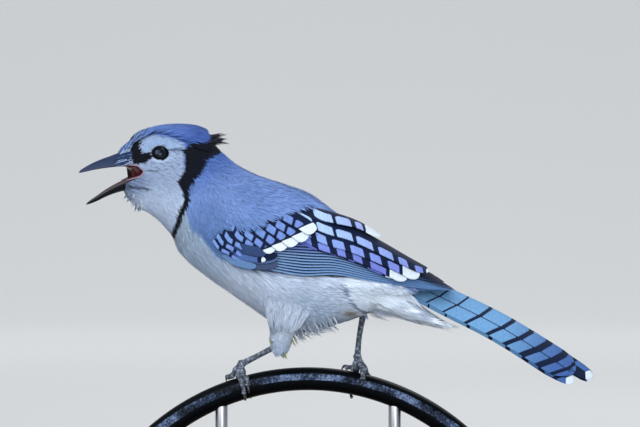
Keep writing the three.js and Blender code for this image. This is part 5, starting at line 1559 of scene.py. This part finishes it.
# The feet: horn-scaled shanks with broad scutes down the front, and four toes each, wrapped
# round the perch, with swollen joints and pads.
PERCH_DIP = -PERCH_WIRE / MM
# A foot holds: heel, ankle, three places on the perch for each toe (along, degrees round the wire),
# and where each claw ends. The hind toe is the last.
FEET = {
    "left": (
        (-19.0, -9.6, 11.6), (-38.4, -3.0, 1.4),
        (
            ((-40.4, 8), (-41.4, -2), (-42.0, -14)), ((-37.6, 30), (-36.8, 70), (-37.4, 112)),
            ((-35.4, 34), (-34.4, 60), (-34.6, 84)), ((-36.4, -25), (-34.6, -70), (-35, -112)),
        ),
        ((-43.8, -34), (-38.0, 148), (-35.2, 120), (-35.4, -150)),
    ),
    "right": (
        (21.0, 10.8, 25.0), (18.2, 3.0, 4.6),
        (
            ((15.4, -6), (13.4, -10), (11.8, -20)), ((19.2, 22), (19.6, 46), (20, 68)),
            ((16.4, -32), (15.6, -80), (15.8, -124)), ((20.6, -20), (22.6, -60), (23, -100)),
        ),
        ((9.4, -42), (20.4, 104), (17.4, -172), (23.4, -138)),
    ),
}
SHANK_RADIUS = 1.42
TOE_RADIUS = 1.35
CLAW_RADIUS = 0.86


def on_perch(x, around, away):
    """A place over the perch: along it, turned round the wire in degrees, away from its surface."""
    angle = math.asin((x + AHEAD) * MM / PERCH_RADIUS)
    outward = np.array([math.sin(angle), 0.0, math.cos(angle)])
    turn = math.radians(around)
    radial = outward * math.cos(turn) + np.array([0.0, -math.sin(turn), 0.0])
    middle = np.array([-AHEAD, 0, PERCH_DIP - PERCH_RADIUS / MM])
    return middle + outward * PERCH_RADIUS / MM + radial * (-PERCH_DIP + away)


def shank_radius(share):
    """The shank swells at the heel and at the ankle."""
    return SHANK_RADIUS * (1.12 - 0.22 * np.sin(math.pi * share) + 0.35 * smooth_step(share, 0.88, 1))


def toe_radius(share):
    """A toe grows thinner to its end, with swollen joints."""
    return TOE_RADIUS * (1.12 - 0.3 * share) + 0.2 * np.cos(6 * math.pi * share)


def claw_radius(share):
    """A claw ends in a point."""
    return CLAW_RADIUS * (1 - share) ** 0.75 + 0.05


scaled_skin, scale_shader = new_material("scaled_skin", 0.48, coat=0.1)
wire(scaled_skin, painted(scaled_skin), scale_shader.inputs["Base Color"])
scale_place = node(scaled_skin, "ShaderNodeTexCoord").outputs["Object"]
scale_cells = node(scaled_skin, "ShaderNodeTexVoronoi", Vector=scale_place, Scale=1400.0)
relief(scaled_skin, scale_shader, scale_cells.outputs["Distance"], 0.35, 0.15 * MM)
claw_material, _ = new_material("claw_horn", 0.25, coat=0.3, Base_Color=linear((26, 26, 30)))

for side, (heel, ankle, toes, claws_to) in FEET.items():
    heel, ankle = np.array(heel), np.array(ankle)
    bow = (heel + ankle) / 2 + np.array([-0.5, 0.0, -0.4])
    tubes = [swept([heel, bow, ankle], 90, 24, shank_radius, 0.16)]
    for i, (places, claw_to) in enumerate(zip(toes, claws_to)):
        lies = [on_perch(x, around, 0.4 + TOE_RADIUS) for x, around in places]
        path = [ankle + 0.02 * (lies[0] - ankle), ankle + 0.55 * (lies[0] - ankle) + (0, 0, 0.5)] + lies
        tubes.append(swept(path, 60, 20, toe_radius, 0.12))
        root = lies[-1] - 0.12 * (lies[-1] - lies[-2])
        tip = on_perch(*claw_to, 0.3)
        away = on_perch((places[-1][0] + claw_to[0]) / 2, (places[-1][1] + claw_to[1]) / 2, 2.9)
        hook = swept([root, away, tip], 30, 16, claw_radius)
        swept_piece(f"claw_{side}_{i + 1}", [hook], claw_material, [f"claw_{side}_{i + 1}"])
    swept_piece(f"foot_{side}", tubes, scaled_skin, [f"leg_{side}", f"foot_{side}"])

# The undertail: long soft white feathers, laid from the vent back under the tail's root, with
# locks that bridge the step from the body, and the last ending in a loose point.
UNDERTAIL_END = (64.8, -0.6, 18.6)
UNDERTAIL_LENGTHS = ((0, 1, 2.6, 3.7), (11.0, 14.0, 15.0, 9.0))  # at four ways
END_LOCKS = 10
LOOSE_LOCKS = 90
BRIDGE_LOCKS = 70
END_TONE = (222, 234, 248)
LOOSE_TONES = ((176, 194, 216), (232, 241, 252))

vent_way, vent_turn = scatter(
    VENT, 9000, 61, lambda p: 1.5 + 0 * p[:, 0], lambda p, turn: p[:, 0] > 10, (0.1, 3.7)
)
vent_long = np.interp(vent_way, *UNDERTAIL_LENGTHS)
vent_direction = np.stack([np.full(len(vent_way), 0.92), 0 * vent_way, np.full(len(vent_way), -0.36)], -1)
vent_roots = np.full(len(vent_way), -1.6)
vent_tips = 0.2 + np.abs(np.random.default_rng(66).normal(0, 0.5, len(vent_way)))
vent_wide = 0.42 * vent_long
undertail = tufts(
    VENT, vent_way, vent_turn, 62, 11, vent_long, vent_wide, vent_direction, vent_roots, vent_tips, 0.5
)
draw = np.random.default_rng(63)
end_tips = np.array(UNDERTAIL_END) + draw.normal(0, (2.4, 1.4, 0.7), (END_LOCKS, 3)) - (2.4, 0, 0)
end_way = draw.uniform(3.2, 3.8, END_LOCKS)
end_turn = draw.uniform(-1.4, 1.4, END_LOCKS) + math.pi * (np.arange(END_LOCKS) % 2)
end_lock = locks(VENT, end_way, end_turn, -0.4, end_tips, 64, 9, 2.6, 0.3, tint(END_TONE), 0.5)
loose_way = draw.uniform(0.4, 3.3, LOOSE_LOCKS)
loose_turn = math.pi + draw.uniform(-1.5, 1.5, LOOSE_LOCKS)
loose_tips = form(VENT, loose_way, loose_turn, 0.7)[0]
loose_tips = loose_tips + draw.uniform(7.0, 12.0, (LOOSE_LOCKS, 1)) * np.array([[0.93, 0, -0.34]])
loose_aside = (0 * loose_way, 2.6 * np.sin(loose_turn), 0.4 - 0.5 * np.cos(loose_turn))
loose_tips = loose_tips + np.stack(loose_aside, -1)
loose_tone = blend(*(tint(tone) for tone in LOOSE_TONES), draw.uniform(0, 1, LOOSE_LOCKS) ** 0.6)
loose = locks(VENT, loose_way, loose_turn, -0.5, loose_tips, 67, 9, 3.4, 0.5, loose_tone, 0.5)
bridge_x, bridge_z = draw.uniform(20.0, 38.0, BRIDGE_LOCKS), draw.uniform(33.0, 44.0, BRIDGE_LOCKS)
bridge_z = np.minimum(bridge_z, 52.0 - 0.3 * bridge_x)
bridge_way, bridge_turn = on_form(BODY, bridge_x, bridge_z, 0.0)
bridge_end_x = bridge_x + draw.uniform(8.0, 13.0, BRIDGE_LOCKS)
bridge_end_z = bridge_z - draw.uniform(4.0, 7.0, BRIDGE_LOCKS)
bridge_end_z = np.minimum(bridge_end_z, 41.5 - 1.06 * (bridge_end_x - 37.6) - 0.6)
tip_way, tip_turn = on_form(VENT, bridge_end_x, bridge_end_z, 0.4)
bridge_tips = form(VENT, tip_way, tip_turn, 0.8)[0]
bridge_tone = tint(PLUMAGE["rear"])
bridge = locks(BODY, bridge_way, bridge_turn, -0.6, bridge_tips, 71, 9, 3.0, 0.5, bridge_tone, 0.5)
undertail_parts = [undertail, loose, bridge, end_lock]
coat_piece("undertail_feathers", undertail_parts, coat_material, ["undertail_coverts"])

# The fringe: the loose ends of the belly's feathers, under it and along its side, the feathers
# that flow over the near thigh, and five straw-coloured wisps. It goes on with the same draw.
FRINGE_TIPS = (
    (-11.4, -4.0, 9.6), (-8.4, -6.0, 11.6), (-5.4, -2.0, 12.8), (-2.4, -7.0, 14.6), (1.0, -3.0, 15.6),
    (4.0, -6.0, 17.8), (7.0, 1.0, 18.6), (-7.0, 4.0, 12.6), (0.0, 6.0, 15.4), (5.6, 7.0, 18.4),
)
FRINGE_TOP = 23.0  # no lock of the underside is rooted above this height
THIGH_FLOW = 110
STRAW_WISPS = ((-17.4, 7.4), (-16.8, 7.2), (-13.6, 14.6), (-13.0, 14.2), (-24.6, 15.0))
FRINGE_TONE = (214, 224, 238)
# The side fringe's locks range from painted shade in grey-blue to pale.
SIDE_TONES_SHADED = ((148, 168, 194), (206, 218, 234))
FLOW_TONE = (182, 197, 218)
STRAW_TONE = (150, 158, 92)

fringe_tips = np.repeat(np.array(FRINGE_TIPS), 5, 0)
fringe_tips = fringe_tips + draw.normal(0, (1.6, 1.8, 1.0), fringe_tips.shape)
fringe_way, fringe_turn = draw.uniform(13.4, 15.0, len(fringe_tips)), math.pi + 0.09 * fringe_tips[:, 1]
fringe_root = form(BODY, fringe_way, fringe_turn)[0]
fringe_way -= np.clip(fringe_root[:, 0] - fringe_tips[:, 0] + 9.0, -9, 9) / 10.0
low = form(BODY, fringe_way, fringe_turn)[0][:, 2] < FRINGE_TOP
fringe_way, fringe_turn, fringe_tips = fringe_way[low], fringe_turn[low], fringe_tips[low]
fringe = locks(BODY, fringe_way, fringe_turn, -1.0, fringe_tips, 65, 7, 2.2, 0.6, tint(FRINGE_TONE), 0.4)
side_tips = np.repeat(np.array(FRINGE_TIPS), 9, 0) * (1, 0, 1)
side_tips = side_tips + draw.normal((-1.6, -6.6, 1.0), (1.8, 1.4, 1.2), side_tips.shape)
side_x = side_tips[:, 0] - draw.uniform(3.0, 6.0, len(side_tips))
side_z = np.maximum(side_tips[:, 2] + draw.uniform(5.0, 8.0, len(side_tips)), 20.0)
side_way, side_turn = on_form(BODY, side_x, side_z, 0.0)
side_tone_shaded = blend(*(tint(tone) for tone in SIDE_TONES_SHADED), draw.uniform(0, 1, len(side_tips)))
side_fringe = locks(BODY, side_way, side_turn, -0.9, side_tips, 70, 5, 1.0, 0.2, side_tone_shaded, 0.5)
flow_x, flow_z = draw.uniform(-26.5, -4.0, THIGH_FLOW), draw.uniform(26.0, 38.0, THIGH_FLOW)
flow_way, flow_turn = on_form(BODY, flow_x, flow_z, 0.0)
flow_end_x, flow_end_z = flow_x * 0.45 - 11.6, flow_z - draw.uniform(9.0, 12.0, THIGH_FLOW)
flow_end = on_form(THIGH_LEFT, flow_end_x, flow_end_z, 0.5)
flow_tips = form(THIGH_LEFT, *flow_end, 0.4)[0]
flow = locks(BODY, flow_way, flow_turn, -1.0, flow_tips, 68, 9, 3.8, 0.2, tint(FLOW_TONE), 0.4)
straw_x, straw_z = np.array(STRAW_WISPS).T
straw_way, straw_turn = on_form(THIGH_LEFT, straw_x, straw_z, 0.5)
straw_reach = np.array([[1.2, -0.5, -4.2]]) * np.linspace(0.8, 1.1, len(STRAW_WISPS))[:, None]
straw_tips = form(THIGH_LEFT, straw_way, straw_turn, 0.6)[0] + straw_reach
straw = locks(THIGH_LEFT, straw_way, straw_turn, -0.2, straw_tips, 69, 3, 0.7, 0.3, tint(STRAW_TONE), 0.3)
coat_piece("belly_fringe", [fringe, side_fringe, flow, straw], coat_material)

# The setting: a plain pale sweep with a light of its own, a large soft key light above on the
# left, a weaker one to the right and a small one behind. None of it is part of the model.
PHOTO_MM = 310.4  # width of the photo's frame at the bird
PHOTO_MIDDLE = (5.8 * MM, 133.9 * MM)
LENS = 300.0
SENSOR = 36.0
SWEEP_HALF = 9.0
SWEEP_BEND = (4.0, 5.0)  # where the sweep starts to rise, and the radius of its bend
ON_BIRD, ON_SWEEP = (0, 0, 0.13), (0, 7.0, 0.4)
# A row holds: name, place in metres, size, power, what it is aimed at.
LIGHTS = (
    ("key_light", (-0.9, -1.5, 1.4), 2.2, 42.0, ON_BIRD),
    ("fill_light", (0.6, -2.2, 0.62), 1.1, 17.0, ON_BIRD),
    ("back_light", (0.5, 1.0, 1.3), 1.0, 8.0, ON_BIRD),
    ("sweep_light", (0.0, 3.2, 3.4), 5.0, 115.0, ON_SWEEP),
)

bend_start, bend_radius = SWEEP_BEND
sweep = [(-SWEEP_HALF, 0.0), (bend_start, 0.0)]
for angle in np.linspace(0.05, math.pi / 2, 24):
    sweep.append((bend_start + bend_radius * math.sin(angle), bend_radius - bend_radius * math.cos(angle)))
sweep.append((SWEEP_HALF, 8.0))
sweep_points = [(x, y, z) for y, z in sweep for x in (-SWEEP_HALF, SWEEP_HALF)]
backdrop = mesh_piece("backdrop", sweep_points, [grid_faces(len(sweep), 2)[:, ::-1]])
pale, _ = new_material("pale_sweep", 0.95, Base_Color=linear((214, 214, 211)))
backdrop.data.materials.append(pale)
backdrop.data.polygons.foreach_set("use_smooth", [True] * len(backdrop.data.polygons))

for name, place, size, power, aim in LIGHTS:
    lamp = bpy.data.lights.new(name, "AREA")
    lamp.size = size
    lamp.energy = power
    lamp_object = bpy.data.objects.new(name, lamp)
    lamp_object.location = place
    lamp_object.rotation_euler = (Vector(aim) - Vector(place)).to_track_quat("-Z", "Y").to_euler()
    lamp_object.visible_camera = False
    bpy.context.scene.collection.objects.link(lamp_object)
world = bpy.data.worlds.new("studio")
world.use_nodes = True
world.node_tree.nodes["Background"].inputs[0].default_value = linear((205, 214, 228))
world.node_tree.nodes["Background"].inputs[1].default_value = 0.66
bpy.context.scene.world = world
bpy.context.scene.view_settings.view_transform = "Standard"

camera_data = bpy.data.cameras.new("photo_camera")
camera_data.lens = LENS
camera_data.sensor_width = SENSOR
camera_data.clip_end = 20.0
camera = bpy.data.objects.new("photo_camera", camera_data)
camera.location = (PHOTO_MIDDLE[0], -PHOTO_MM * MM * LENS / SENSOR, PHOTO_MIDDLE[1])
camera.rotation_euler = (math.pi / 2, 0, 0)
bpy.context.scene.collection.objects.link(camera)
bpy.context.scene.camera = camera
